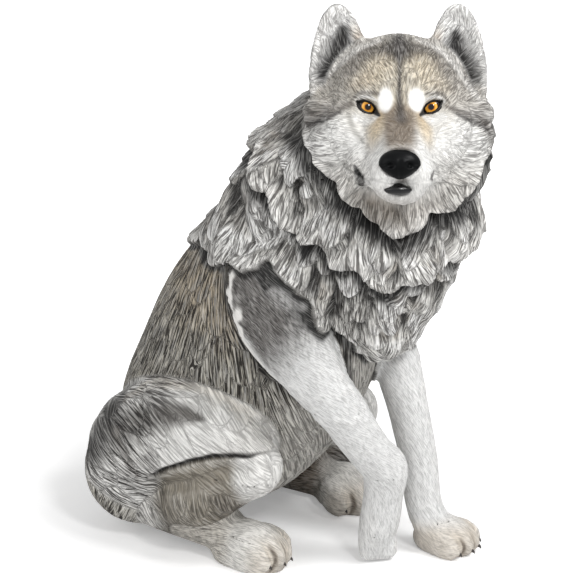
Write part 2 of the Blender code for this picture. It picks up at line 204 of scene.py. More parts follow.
class Skin:
    """A mesh of quads held as arrays, with the neighbours of each point."""

    most_neighbours: int = 10

    def __init__(self, points: Array, quads: Array) -> None:
        """Keeps the arrays and lists each point's neighbours, along edges and across quads."""
        self.points = points
        self.quads = quads
        sides = [quads[:, [0, 1]], quads[:, [1, 2]], quads[:, [2, 3]], quads[:, [3, 0]]]
        across = [quads[:, [0, 2]], quads[:, [1, 3]]]
        self.source, self.target, self.first = self.directed(np.vstack(sides), len(points))
        source, target, first = self.directed(np.vstack(sides + across), len(points))
        count = np.diff(np.append(first, len(source)))
        rank = np.arange(len(source)) - np.repeat(first, count)
        keep = rank < self.most_neighbours
        self.ring = np.repeat(np.arange(len(points))[:, None], self.most_neighbours + 1, 1)
        self.ring[source[keep], rank[keep] + 1] = target[keep]

    @staticmethod
    def directed(pairs: Array, count: int) -> tuple[Array, Array, Array]:
        """Each pair both ways, once, sorted by its first point, with where each point's run starts."""
        both = np.vstack([pairs, pairs[:, ::-1]]).astype(np.int64)
        keys = np.unique(both[:, 0] * count + both[:, 1])
        source, target = keys // count, keys % count
        first = np.searchsorted(source, np.arange(count))
        return source, target, first

    def average(self, values: Array) -> Array:
        """Mean of each value over the point's neighbours."""
        total = np.add.reduceat(values[self.target], self.first, axis=0)
        count = np.diff(np.append(self.first, len(self.source)))
        return total / (count if values.ndim == 1 else count[:, None])

    def relax(self, values: Array, rounds: int, share: float | Array = 0.5) -> Array:
        """Blends each value with its neighbours' mean, for a number of rounds."""
        for _ in range(rounds):
            values = values + (self.average(values) - values) * share
        return values

    def normals(self) -> Array:
        """Outward unit vectors: the sum of the cross products of the quads round each point."""
        p = self.points[self.quads]
        face = np.cross(p[:, 2] - p[:, 0], p[:, 3] - p[:, 1])
        total = np.empty_like(self.points)
        for axis in range(3):
            weights = np.repeat(face[:, axis], 4)
            total[:, axis] = np.bincount(self.quads.ravel(), weights, len(self.points))
        return unit(total)


@dataclass(frozen=True)
class Limb:
    """A stretch of the body: a smooth path with a radius at each of its stations."""

    stations: tuple
    samples: int = 60

    def path(self) -> tuple[Array, Array, Array]:
        """The path's samples, the radius at each, and the direction it runs in there."""
        stations = np.array([[*spot, radius] for spot, radius in self.stations], float)
        rows = smooth_path(stations, self.samples)
        return rows[:, :3], rows[:, 3], unit(np.gradient(rows[:, :3], axis=0))

    def nearest(self, points: Array) -> tuple[Array, Array]:
        """How far each point lies from the limb, and at which sample of the path.

        Args:
            points: Rows of places in carving space.

        Returns:
            The distance from the path as a share of the local radius, least over the
            path, and the number of that sample.
        """
        best = np.full(len(points), 1e9)
        which = np.zeros(len(points), int)
        spots, radii, _ = self.path()
        for number, (spot, radius) in enumerate(zip(spots, radii)):
            gap = np.sqrt(((points - spot) ** 2).sum(1)) / radius
            nearer = gap < best
            best = np.where(nearer, gap, best)
            which[nearer] = number
        return best, which

    def chart(self, points: Array, face: tuple, lean: float, stretch: float) -> Array:
        """Coordinates for hairs that run along the limb.

        With a the angle round the path, r the limb's usual radius and s the length run
        along it, the coordinates are (r a + lean s, 0, stretch s).

        Args:
            points: Rows of places near the limb.
            face: The direction at which the angle is 0.
            lean: How far the hairs turn round the limb for each millimetre along it.
            stretch: How much the along coordinate is shortened.

        Returns:
            One row of coordinates for each point.
        """
        _, which = self.nearest(points)
        spots, radii, along = self.path()
        run = np.append(0.0, np.cumsum(np.linalg.norm(np.diff(spots, axis=0), axis=1)))
        offset, ahead = points - spots[which], along[which]
        s = run[which] + (offset * ahead).sum(1)
        front = unit(np.array(face) - ahead * (ahead @ np.array(face))[:, None])
        side = np.cross(ahead, front)
        angle = np.arctan2((offset * side).sum(1), (offset * front).sum(1))
        return np.stack([angle * np.median(radii) + lean * s, np.zeros(len(s)), stretch * s], 1)


class CastSkin:
    """The casting's own surface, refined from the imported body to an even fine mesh."""

    voxel: float = 1.42
    relaxing: int = 5

    def __init__(self, pose: Pose) -> None:
        """Remeshes a merged copy of wolf_body with its eyes filled in, and reads it as arrays."""
        bm = bmesh.new()
        for name in ("wolf_body", "eye_left", "eye_right"):
            bm.from_mesh(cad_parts[name].data)
        bmesh.ops.remove_doubles(bm, verts=bm.verts[:], dist=1e-6)
        mesh = bpy.data.meshes.new("casting")
        bm.to_mesh(mesh)
        bm.free()
        obj = bpy.data.objects.new("casting", mesh)
        bpy.context.scene.collection.objects.link(obj)
        remesh = obj.modifiers.new("even", "REMESH")
        remesh.mode = "VOXEL"
        remesh.voxel_size = self.voxel * MM
        relax = obj.modifiers.new("relax", "SMOOTH")
        relax.iterations = self.relaxing
        finer = obj.modifiers.new("finer", "SUBSURF")
        finer.levels = finer.render_levels = 1
        graph = bpy.context.evaluated_depsgraph_get()
        shape = obj.evaluated_get(graph).to_mesh()
        points = np.empty(len(shape.vertices) * 3, np.float32)
        shape.vertices.foreach_get("co", points)
        quads = np.empty(len(shape.loops), np.int32)
        shape.loops.foreach_get("vertex_index", quads)
        self.skin = Skin(points.reshape(-1, 3).astype(float) / MM + pose.shift(), quads.reshape(-1, 4))
        bpy.data.objects.remove(obj)


class Anatomy:
    """Which part of the wolf each point of the skin belongs to, and which way its fur runs."""

    haunch = Limb((
        ((-24, 96, 40), 24), ((-36, 75, 50), 31), ((-40, 50, 58), 30), ((-43, 26, 61), 24),
        ((-47, 7, 56), 16),
    ))
    shank = Limb((
        ((-49, 4, 50), 17), ((-50, 22, 36), 19), ((-46, 42, 27), 19), ((-40, 62, 18), 15),
    ))
    right_foot = Limb((
        ((-42, 40, 14), 15), ((-42, 24, 14), 14), ((-41, 4, 9), 15), ((-40, -8, 4), 12),
    ))
    left_haunch = Limb((
        ((24, 96, 40), 24), ((36, 75, 50), 31), ((40, 50, 58), 30), ((43, 26, 61), 24),
        ((46, 4, 54), 16),
    ))
    left_shank = Limb((
        ((47, 2, 46), 17), ((50, 24, 34), 19), ((52, 44, 24), 18), ((52, 64, 14), 15),
    ))
    left_foot = Limb((
        ((58, 30, 12), 18), ((48, 8, 10), 19), ((38, -14, 4), 14),
    ))
    right_leg = Limb((
        ((-34, 2, 146), 21), ((-37, -8, 124), 19), ((-35, -20, 106), 16), ((-29, -31, 88), 14),
        ((-17, -43, 63), 12.5), ((-9, -46, 48), 12.5), ((-6, -42, 24), 12), ((-5, -39, 4), 11),
    ))
    left_leg = Limb((
        ((24, -12, 150), 22), ((26, -22, 124), 18), ((23, -34, 99), 14), ((21, -43, 74), 12),
        ((20, -50, 48), 11), ((19, -56, 24), 11), ((22, -62, 10), 13), ((24, -80, 4), 13),
    ))
    tail = Limb((
        ((10, 96, 28), 13), ((24, 108, 16), 13), ((48, 104, 10), 13), ((68, 86, 9), 13),
        ((79, 60, 9), 13), ((80, 34, 8), 12), ((75, 12, 6), 8),
    ))
    limb_names: tuple = (
        "haunch", "shank", "right_foot", "left_haunch", "left_shank", "left_foot",
        "right_leg", "left_leg", "tail",
    )
    neck_axis: tuple = (3.0, -22.0)
    ruff_edge: tuple = (
        (-180, 62), (-130, 52), (-105, 46), (-91, 44), (-77.5, 41.6), (-61, 38.6), (-42, 38.5),
        (-26, 39.6), (-13, 42), (-3.4, 50), (6, 46.5), (20, 42), (29, 41.2), (44, 42.6), (60, 41.8),
        (79, 42.2), (91, 43), (105, 46), (130, 52), (180, 62),
    )
    collar_edge: tuple = (
        (-180, 214), (-140, 210), (-120, 199), (-110, 186), (-97, 177), (-83, 173), (-69, 169),
        (-54, 163), (-38, 154), (-27, 163), (-8, 164), (10, 167), (30, 172), (60, 188), (100, 205),
        (140, 211), (180, 214),
    )
    crease: tuple = (
        (-60, 68), (-4, 68), (10, 66.4), (22.5, 64.4), (36, 58.6), (47.5, 52.8), (56, 47), (66, 42),
        (90, 38),
    )

    def __init__(self, skin: Skin, pose: Pose) -> None:
        """Works out soft region masks and the fur's direction at every point."""
        self.skin = skin
        self.pose = pose
        self.points = skin.points
        self.head = pose.to_head(skin.points)
        self.regions()
        smooth = skin.relax(skin.points, 45, 0.8)
        skin.points = skin.points + (smooth - skin.points) * (0.72 * self.mane)[:, None]
        self.points = skin.points
        self.head = pose.to_head(skin.points)
        self.normals = skin.normals()
        self.flow = self.directions()

    def mane_edge(self, turn: Array) -> Array:
        """Height of the mane's lower edge at this angle in degrees from the front of the chest."""
        return 110.0 + 47.0 * np.clip((turn - 40.0) / 70.0, 0.0, 1.0) ** 1.6

    def regions(self) -> None:
        """Fills the masks, each from 0 to 1."""
        p, h = self.points, self.head
        across = p[:, 0] - self.neck_axis[0]
        ahead = -(p[:, 1] - self.neck_axis[1])
        self.facing = np.degrees(np.arctan2(across, ahead))
        self.turn = np.abs(self.facing)
        ragged = 4.0 * value_noise(p, 15.0, 31) + 2.6 * value_noise(p, 6.0, 32)
        turned = self.facing + 7.0 * value_noise(p, 30.0, 33)
        others = 5.5 * np.abs(np.sin(np.radians(turned) * 6.7 + 1.0))
        round_face = np.degrees(np.arctan2(h[:, 0], -(h[:, 2] + 12)))
        lobes = 2.2 * np.abs(np.sin(np.radians(round_face) * 7.3 + 0.4))
        out = np.hypot(h[:, 0], h[:, 2] + 12)
        rim = np.interp(round_face, *zip(*self.ruff_edge))
        self.over_ruff = rim - out + 0.28 * ragged + lobes - 1.2
        collar = np.interp(self.facing, *zip(*self.collar_edge))
        self.over_collar = p[:, 2] + ragged * 0.6 + others - 3 - collar
        self.below_face = smooth_step(h[:, 2], -5, -15) * smooth_step(h[:, 1], 52, 40)
        back = np.where(h[:, 1] > 14, (h[:, 1] - 14) / 26, (h[:, 1] - 14) / 80)
        low = np.where(h[:, 2] < -6, (h[:, 2] + 6) / 43, (h[:, 2] + 6) / 62)
        disc = np.sqrt((h[:, 0] / 50) ** 2 + low**2 + back**2)
        self.head_mask = 1 - smooth_step(disc, 0.97, 1.05)
        under = smooth_step(h[:, 2], 3, -5)
        ring = smooth_step(self.over_ruff, -0.7, 0.7) * smooth_step(h[:, 1], 41, 37)
        self.head_mask += (ring - self.head_mask) * under
        self.head_mask *= smooth_step(h[:, 1] + 0.5 * ragged, 35, 32)
        lobe = np.abs(np.abs(h[:, 0]) - 27.4)
        above = smooth_step(h[:, 2], 9, 16) * (1 - smooth_step(lobe, 15.5, 17.5))
        across, ahead, up = h[:, 0] / 34.5, (h[:, 1] - 25) / 32.5, (h[:, 2] - 3.8) / 33.5
        skull = np.sqrt(across**2 + ahead**2 + up**2)
        self.ear = above * smooth_step(skull, 1.02, 1.08) * smooth_step(h[:, 1], 8, 12)
        self.head_mask = np.maximum(self.head_mask, self.ear)
        fold = np.interp(p[:, 1], *zip(*self.crease))
        self.over_crease = p[:, 2] - fold + 0.5 * value_noise(p, 5.0, 34)
        hem = 5.0 * np.abs(np.sin(np.radians(turned) * 8.1 + 0.7)) - 3.0
        self.edge = self.mane_edge(self.turn) - (hem + 1.2 * ragged) * smooth_step(self.turn, 45, 75)
        rise = p[:, 2] - self.edge + 2.5 * value_noise(p, 9.0, 5)
        self.mane = smooth_step(rise, -2, 3) * (1 - self.head_mask)
        body_side = 1 - self.mane
        masks = {}
        for name in self.limb_names:
            reach, which = getattr(self, name).nearest(p)
            along = getattr(self, name).path()[2][which]
            masks[name] = ((1 - smooth_step(reach, 1.04, 1.16)) * body_side, along, reach)
        self.limbs = masks
        tail_on = masks["tail"][0]
        for name in ("haunch", "left_haunch", "left_shank", "left_foot", "shank"):
            mask, along, reach = masks[name]
            masks[name] = (mask * (1 - tail_on * (masks["tail"][2] < reach)), along, reach)

    def fur(self) -> Array:
        """Coordinates for fine hairs where no lock gives them: across the fur, and along it."""
        side = np.cross(self.flow, self.normals)
        across = (self.points * side).sum(1)
        along = (self.points * self.flow).sum(1)
        return np.stack([across, np.zeros(len(along)), along * HAIR_STRETCH], 1)

    @property
    def crease_line(self) -> Array:
        """Mask of the deep fold between haunch and shank, tapering off at both ends."""
        p = self.points
        hips = self.limb("haunch", "shank", "left_haunch", "left_shank")
        depth = smooth_step(p[:, 1], -6, 6) * smooth_step(p[:, 1], 66, 50)
        depth *= smooth_step(np.abs(p[:, 0] - 3), 40, 47)
        return smooth_step(np.abs(self.over_crease + 0.5), 1.9 * depth + 0.2, 0.3) * hips * depth

    def limb(self, *names: str) -> Array:
        """The mask of one limb, or of several together."""
        return np.max([self.limbs[name][0] for name in names], axis=0)

    def from_cheeks(self) -> Array:
        """Distance from the middle of the face, where 1 is the rim of the fur round it."""
        return np.sqrt((self.head[:, 0] / 50) ** 2 + ((self.head[:, 2] + 8) / 43) ** 2)

    def directions(self) -> Array:
        """The direction that the fur lies in, tangent to the skin, of length 1.

        Flank: down, fanning back over the rump and forward over the belly. Haunches:
        down at the top and forward to the knee below. Legs and tail: along the limb.
        Mane: down and out. Head: out from the bridge of the nose, and backwards.
        """
        p, h = self.points, self.head
        flow = np.stack([np.zeros(len(p)), 0.010 * (p[:, 1] - 30), -np.ones(len(p))], 1)
        for name in ("haunch", "left_haunch"):
            mask = self.limb(name)[:, None]
            drop = np.clip((p[:, 2] - 34) / 50, -0.1, 1.3)
            sweep = np.stack([np.zeros(len(p)), -np.ones(len(p)), -0.95 * drop], 1)
            flow = flow * (1 - mask) + unit(sweep) * mask
        for name in ("shank", "left_shank"):
            mask = self.limb(name)[:, None]
            down = np.stack([np.zeros(len(p)), np.full(len(p), -0.35), -np.ones(len(p))], 1)
            flow = flow * (1 - mask) + unit(down) * mask
        for name in ("right_foot", "left_foot", "right_leg", "left_leg", "tail"):
            mask, along, _ = self.limbs[name]
            flow = flow * (1 - mask[:, None]) + along * mask[:, None]
        outward = unit(np.stack([p[:, 0] - 3, p[:, 1] + 30, np.zeros(len(p))], 1))
        fall = np.array([0.0, 0.0, -1.0]) + 0.35 * outward
        sway = np.stack([value_noise(p, 17.0, seed) for seed in (11, 12, 13)], 1)
        mane = self.mane[:, None]
        flow = flow * (1 - mane) + unit(fall + 0.55 * sway) * mane
        spread = np.stack([h[:, 0], np.full(len(h), 9.0), h[:, 2] + 13], 1)
        chin = smooth_step(h[:, 2], -30, -42)[:, None]
        spread = unit(spread) * (1 - chin) + np.array([0, 0.3, -1.0]) * chin
        ear = self.ear[:, None]
        middle = np.sign(h[:, :1]) * 24.0
        rim = np.stack([h[:, 0] - middle[:, 0], np.zeros(len(h)), (h[:, 2] - 20) * 0.8], 1)
        spread = unit(spread) * (1 - ear) + unit(rim) * ear
        head = self.head_mask[:, None]
        flow = flow * (1 - head) + (unit(spread) @ self.pose.turn().T) * head
        flow += 0.16 * np.stack([value_noise(p, 6.0, seed) for seed in (21, 22, 23)], 1)
        return self.lay(flow, self.normals)

    @staticmethod
    def lay(vectors: Array, normals: Array) -> Array:
        """The vectors laid onto the skin: their part along the normal is taken out."""
        return unit(vectors - normals * (vectors * normals).sum(1, keepdims=True))


@dataclass(frozen=True)
class Lock:
    """The form of one lock of fur: a leaf that is flat at its root and proud at its tip.

    One lock grows in each cell of a lattice of this size. Its hairs are stretched along
    it; a combed lock gives the skin its hair coordinates, and its border shade is how dark
    the painted shade sits at its sides and its root, under the tip of the lock above.
    """

    length: float
    half_width: float
    height: float
    cell: float
    stretch: float = 0.08
    # How dark the painted shade sits at the lock's sides and root.
    seam: float = 0.0
    combed: bool = True


class LockField:
    """Locks and tufts of fur all over the wolf, modelled over each other.

    The mane is of broad locks with small tufts on them. On the rest of the body the
    locks are nearly flat, and give the strokes and hairs in them one direction each.
    """

    seen: tuple = (-0.87, -0.5, 0.0)
    up: tuple = (0.0, 0.0, 1.0)
    flank: Lock = Lock(34.0, 11.0, 0.08, 16.0, stretch=0.06)
    thigh: Lock = Lock(36.0, 11.0, 0.08, 15.0, stretch=0.055)
    calf: Lock = Lock(24.0, 9.0, 0.08, 12.0, stretch=0.075)
    tail_tuft: Lock = Lock(20.0, 4.0, 0.9, 6.0, combed=False)
    face: Lock = Lock(15.0, 6.0, 0.08, 8.0, stretch=0.13)
    ear: Lock = Lock(12.0, 4.5, 0.15, 6.5, stretch=0.11)
    cheek: Lock = Lock(24.0, 7.5, 1.3, 11.0, seam=0.45)
    cheek_tuft: Lock = Lock(13.0, 2.8, 0.5, 5.4, combed=False)
    broad: Lock = Lock(36.0, 9.5, 2.9, 13.5, stretch=0.07, seam=0.95)
    mane_tuft: Lock = Lock(17.0, 3.2, 0.8, 6.8, combed=False, seam=0.3)
    hem_height: float = 3.6
    collar_height: float = 6.0
    ruff_height: float = 2.6
    collar_cut: float = 2.6
    ruff_cut: float = 3.4

    def __init__(self, anatomy: Anatomy) -> None:
        """Stamps every lock into one height map, and turns the fur along the winning lock."""
        self.anatomy = anatomy
        self.random = np.random.default_rng(4)
        self.height = np.zeros(len(anatomy.points))
        self.fur = anatomy.fur()
        # Painted shade at the sides and roots of the locks, from 0 to 1.
        self.edge = np.zeros(len(anatomy.points))
        a = anatomy
        ring = self.cheek_ring()
        upper = a.limb("haunch", "left_haunch")
        lower = a.limb("shank", "left_shank")
        rest = np.max([upper, lower, a.limb("tail"), a.mane, a.head_mask], axis=0) <= 0.5
        self.stamp_all(rest, self.flank)
        self.stamp_all(upper > 0.5, self.thigh)
        self.stamp_all(lower > 0.5, self.calf)
        for name, face, lean in (
            ("right_foot", self.up, 0.2), ("left_foot", self.up, 0.2), ("right_leg", self.seen, 0.5),
            ("left_leg", self.seen, 0.5), ("tail", self.up, 0.3),
        ):
            patch = a.limb(name) > 0.3
            self.fur[patch] = getattr(a, name).chart(a.points[patch], face, lean, 0.09) * 1.4
        self.stamp_all(a.limb("tail") > 0.5, self.tail_tuft)
        face = (a.head_mask > 0.5) & (ring <= 0.3)
        self.stamp_all(face, self.face)
        self.stamp_all(a.ear > 0.5, self.ear)
        self.stamp_all(ring > 0.3, self.cheek)
        self.stamp_all(ring > 0.3, self.cheek_tuft)
        mane = (a.mane > 0.4) & (a.head_mask < 0.5)
        self.stamp_all(mane, self.broad)
        self.stamp_all(mane, self.mane_tuft)
        self.fur[a.head_mask > 0.5] *= 1.55
        self.fur[mane] *= 1.3
        self.fur[a.limb("right_leg") > 0.3] *= 1.25

    def cheek_ring(self) -> Array:
        """Mask of the fur ring: the rim of the face, under and beside the cheeks."""
        a = self.anatomy
        ring = smooth_step(a.from_cheeks(), 0.62, 0.78) * a.head_mask * (1 - a.ear)
        return ring * smooth_step(a.head[:, 2], 10, -4)

    def seeds(self, where: Array, cell: float) -> Array:
        """One random point of the masked skin in each cell of a cubic lattice."""
        chosen = self.random.permutation(np.flatnonzero(where))
        cells = np.floor(self.anatomy.points[chosen] / cell).astype(np.int64)
        return chosen[np.unique(lattice_key(cells), return_index=True)[1]]

    def stamp_all(self, where: Array, lock: Lock) -> None:
        """Stamps locks over the masked skin; each is cut from the points near its own axis.

        With s from root to tip and t across, the height is A s^0.8 sqrt(1 - (t / w)^4),
        where the half width w narrows to the tip as sqrt(1 - s^3), and the axis bends by
        b s^2. Where locks overlap, the higher one wins. The layer is added to what is there.

        Args:
            where: Which points of the skin carry these locks.
            lock: Their form and spacing.
        """
        a = self.anatomy
        patch = np.flatnonzero(where)
        points, normals = a.points[patch], a.normals[patch]
        best = np.zeros(len(patch))
        direction = a.flow[patch].copy()
        rim = np.zeros(len(patch))
        fur = self.fur[patch]
        for seed in self.seeds(where, lock.cell):
            size = self.random.uniform(0.7, 1.25)
            length, half = lock.length * size, lock.half_width * size
            offset = points - a.points[seed]
            near = np.flatnonzero((offset * offset).sum(1) < length * length)
            near = near[normals[near] @ a.normals[seed] > 0.45]
            offset = offset[near]
            along = a.flow[seed]
            side = np.cross(along, a.normals[seed])
            s = offset @ along / length + 0.35
            bend = self.random.uniform(-3.0, 3.0)
            t = offset @ side - bend * s * s
            width = half * np.sqrt(np.clip(1 - s**3, 0, 1)) * np.clip(s / 0.25, 0, 1) ** 0.5
            inside = (s > 0) & (s < 1) & (np.abs(t) < width)
            near, s, t, width = near[inside], s[inside], t[inside], width[inside]
            share = t / width
            value = lock.height * size * s**0.8 * np.sqrt(1 - share**4)
            wins = value > best[near]
            near, s, t, share, value = near[wins], s[wins], t[wins], share[wins], value[wins]
            best[near] = value
            lean = (bend * 2 * s / length - 0.25 * share * s)[:, None]
            direction[near] = unit(along + side * lean)
            # Painted shade at the lock's sides towards its tip and at its root, where the lock above overlaps
            # it.
            rim[near] = np.maximum(np.abs(share) ** 6 * s, 0.9 * np.clip(1 - s / 0.34, 0, 1))
            fur[near] = np.stack([t, np.full(len(s), seed * 0.37), s * length * lock.stretch], 1)
        self.height[patch] += best
        self.edge[patch] = np.maximum(self.edge[patch], rim * lock.seam)
        a.flow[patch] = Anatomy.lay(direction, normals)
        if lock.combed:
            self.fur[patch] = fur

    def collars(self) -> Array:
        """The mane's three layers: each grows towards its lower edge and drops below it.

        A layer adds A (1 - u)^1.3, with u the rise above its edge as a share of its
        depth; below each edge the skin is cut back by B e^(v / c), v the way down, below 0.
        """
        a = self.anatomy
        low = (a.points[:, 2] - a.edge) / 45
        height = self.hem_height * (1 - np.clip(low, 0, 1)) ** 1.3 * a.mane
        middle = self.collar_height * (1 - np.clip(a.over_collar / 34, 0, 1)) ** 1.3 * a.mane
        height = np.where(a.over_collar > 0, middle, height)
        drop = np.exp(np.minimum(a.over_collar, 0) / 2.5) * (a.over_collar <= 0)
        height -= self.collar_cut * drop * a.mane
        drop = np.exp(np.minimum(a.over_ruff, 0) / 3.5) * (a.over_ruff <= 0)
        height -= self.ruff_cut * drop * a.mane * a.below_face
        ruff = self.ruff_height * (1 - np.clip(a.over_ruff / 14, 0, 1)) ** 1.3
        ruff *= smooth_step(a.head[:, 1], 0, 8)
        on_ruff = (a.over_ruff > 0) & (a.head_mask > 0.5)
        return np.where(on_ruff, ruff * a.below_face, height * (a.head_mask < 0.5))


class StrokeField:
    """Fur strokes, cut one by one along the lie of the fur with a V-shaped graver."""

    step: float = 0.5
    rounds: int = 9
    per_round: int = 1500
    crowding: float = 0.06
    fewest: int = 200
    width_squared: float = 0.36

    def __init__(self, anatomy: Anatomy) -> None:
        """Cuts all strokes, longest where the fur is longest."""
        self.anatomy = anatomy
        self.random = np.random.default_rng(9)
        self.measure()
        self.groove = np.zeros(len(anatomy.points))
        self.side = np.cross(anatomy.flow, anatomy.normals)
        for _ in range(self.rounds):
            crowd = anatomy.skin.relax(self.groove, 2)
            free = np.flatnonzero((crowd < self.crowding) & (self.depth > 0.01))
            if len(free) < self.fewest:
                break
            count = min(self.per_round, len(free) // 3)
            self.walk(self.random.choice(free, count, replace=False))

    def measure(self) -> None:
        """Length and depth of the strokes for each part of the body, in millimetres."""
        a = self.anatomy
        self.length = np.full(len(a.points), 15.0)
        self.depth = np.full(len(a.points), 0.42)
        for mask, length, depth in (
            (a.limb("haunch", "left_haunch"), 22.0, 0.5),
            (a.limb("shank", "left_shank"), 11.0, 0.34),
            (a.limb("right_leg", "left_leg"), 6.0, 0.24),
            (a.limb("right_foot", "left_foot"), 5.0, 0.22),
            (a.limb("tail"), 14.0, 0.45),
            (a.mane, 9.0, 0.50),
            (a.head_mask, 4.6, 0.20),
            (a.head_mask * smooth_step(a.from_cheeks(), 0.45, 0.8), 7.5, 0.34),
            (a.ear, 5.0, 0.26),
        ):
            self.length += (length - self.length) * mask
            self.depth += (depth - self.depth) * mask
        bare = ball(a.head, (0, -38, -28), (13, 12, 12)) * a.head_mask
        self.depth *= 1 - smooth_step(bare, 0.2, 0.5)
        self.depth *= smooth_step(a.points[:, 2], 0.6, 2.0)

    def walk(self, seeds: Array) -> None:
        """Draws strokes from these seeds, all of them one step at a time.

        Each stroke steps along the fur, hops to the nearest point of the skin and leaves
        a groove that deepens quickly, then runs out: (1 - s)^0.5 of its depth at share s.
        """
        a = self.anatomy
        here, at = seeds, a.points[seeds].copy()
        length = self.length[seeds] * self.random.uniform(0.6, 1.35, len(seeds))
        drift = self.random.normal(0.0, 0.10, len(seeds))[:, None]
        weight = self.random.uniform(0.65, 1.0, len(seeds))
        for number in range(int(length.max() / self.step)):
            share = (number + 0.5) * self.step / length
            going = share < 1
            here, at, length, drift, weight, share = (
                row[going] for row in (here, at, length, drift, weight, share)
            )
            ring = a.skin.ring[here]
            gap = ((a.points[ring] - at[:, None]) ** 2).sum(2)
            strength = weight * np.minimum(share / 0.12, 1.0) * (1 - share) ** 0.5
            cut = strength[:, None] * np.clip(1 - gap / self.width_squared, 0, 1)
            np.maximum.at(self.groove, ring.ravel(), cut.ravel())
            at = at + (a.flow[here] + self.side[here] * drift) * self.step
            gap = ((a.points[ring] - at[:, None]) ** 2).sum(2)
            here = ring[np.arange(len(ring)), gap.argmin(1)]
            at -= a.normals[here] * ((at - a.points[here]) * a.normals[here]).sum(1, keepdims=True)


def tone(red: int, green: int, blue: int) -> Array:
    """A paint's colour, 0 to 255, turned to linear light."""
    share = np.array([red, green, blue]) / 255.0
    return np.where(share <= 0.04045, share / 12.92, ((share + 0.055) / 1.055) ** 2.4)


@dataclass(frozen=True)
class Dab:
    """A soft oval of paint on the face: centre and half sizes across and up, in head space."""

    x: float
    z: float
    wide: float
    tall: float
    colour: tuple
    turn: float = 0.0
    strength: float = 1.0
    soft: float = 0.45

    def mask(self, head: Array) -> Array:
        """1 inside the oval, 0 outside, with a soft edge."""
        u, v = tilted(head[:, 0] - self.x, head[:, 2] - self.z, self.turn)
        out = np.sqrt((u / self.wide) ** 2 + (v / self.tall) ** 2)
        return self.strength * (1 - smooth_step(out, 1 - self.soft, 1 + self.soft))


@dataclass(frozen=True)
class Streak:
    """A line of paint on the face through points across and up, with a width at each."""

    spots: tuple
    colour: tuple
    strength: float = 1.0
    soft: float = 0.5

    def mask(self, head: Array) -> Array:
        """1 on the line, 0 beyond its width, with a soft edge."""
        path = smooth_path(np.array(self.spots, float), 40)
        best = np.full(len(head), 1e9)
        for x, z, wide in path:
            best = np.minimum(best, np.hypot(head[:, 0] - x, head[:, 2] - z) / wide)
        return self.strength * (1 - smooth_step(best, 1 - self.soft, 1 + self.soft))


@dataclass(frozen=True)
class Paw:
    """A paw that points from its heel to its toes, with four toes side by side."""

    name: str
    heel: tuple
    toes: tuple
    width: float
    height: float
    steps: tuple = (-1.5, -0.5, 0.5, 1.5)
    backs: tuple = (0.16, 0.0, 0.0, 0.16)
    toe_share: float = 0.33

    @property
    def toe_width(self) -> float:
        """How far apart neighbouring toes lie."""
        return self.width / 3.6 * 0.95

    def axes(self) -> tuple[Array, Array, float]:
        """The way the paw points, the way across it, and its length."""
        forward = np.array(self.toes, float) - np.array(self.heel, float)
        reach = float(np.linalg.norm(forward))
        along = forward / reach
        return along, unit(np.cross(along, [0.0, 0.0, 1.0])), reach

    def toe_middles(self) -> Array:
        """Middle of each toe, at three tenths of the paw's height."""
        along, side, reach = self.axes()
        back = reach * self.toe_share * (0.8 + 2 * np.array(self.backs))[:, None]
        middles = np.array(self.toes) - along * back + side * np.array(self.steps)[:, None] * self.toe_width
        middles[:, 2] = self.height * 0.30
        return middles

    def clefts(self, points: Array) -> Array:
        """Mask of the lines between neighbouring toes, fading out over the instep."""
        along, side, reach = self.axes()
        offset = points - np.array(self.toes, float)
        across = offset @ side / self.toe_width
        ahead = offset @ along / reach
        line = np.min([np.abs(across - step) for step in (-1, 0, 1)], axis=0)
        near = smooth_step(ahead, -0.26, -0.12) * smooth_step(ahead, 0.5, 0.3)
        near *= smooth_step(np.abs(across), 1.9, 1.6)
        low = smooth_step(points[:, 2], self.height * 0.72, self.height * 0.46)
        return smooth_step(line, 0.13, 0.02) * near * low

    def toe_tint(self, points: Array) -> Array:
        """Mask of the toes, strongest at their tips."""
        along, side, reach = self.axes()
        offset = points - np.array(self.toes, float)
        across = np.abs(offset @ side) / self.width
        low = smooth_step(points[:, 2], self.height, self.height * 0.5)
        return smooth_step(offset @ along / reach, -0.5, -0.1) * smooth_step(across, 0.75, 0.6) * low


PAWS = (
    Paw("right_hind", (-42, 34, 9), (-40, -7, 3), 27, 25),
    Paw("left_hind", (58, 26, 8), (40, -12, 3), 34, 22),
    Paw("left_fore", (24, -46, 8), (24, -80, 3), 27, 18),
)

WHITE = (240, 239, 236)
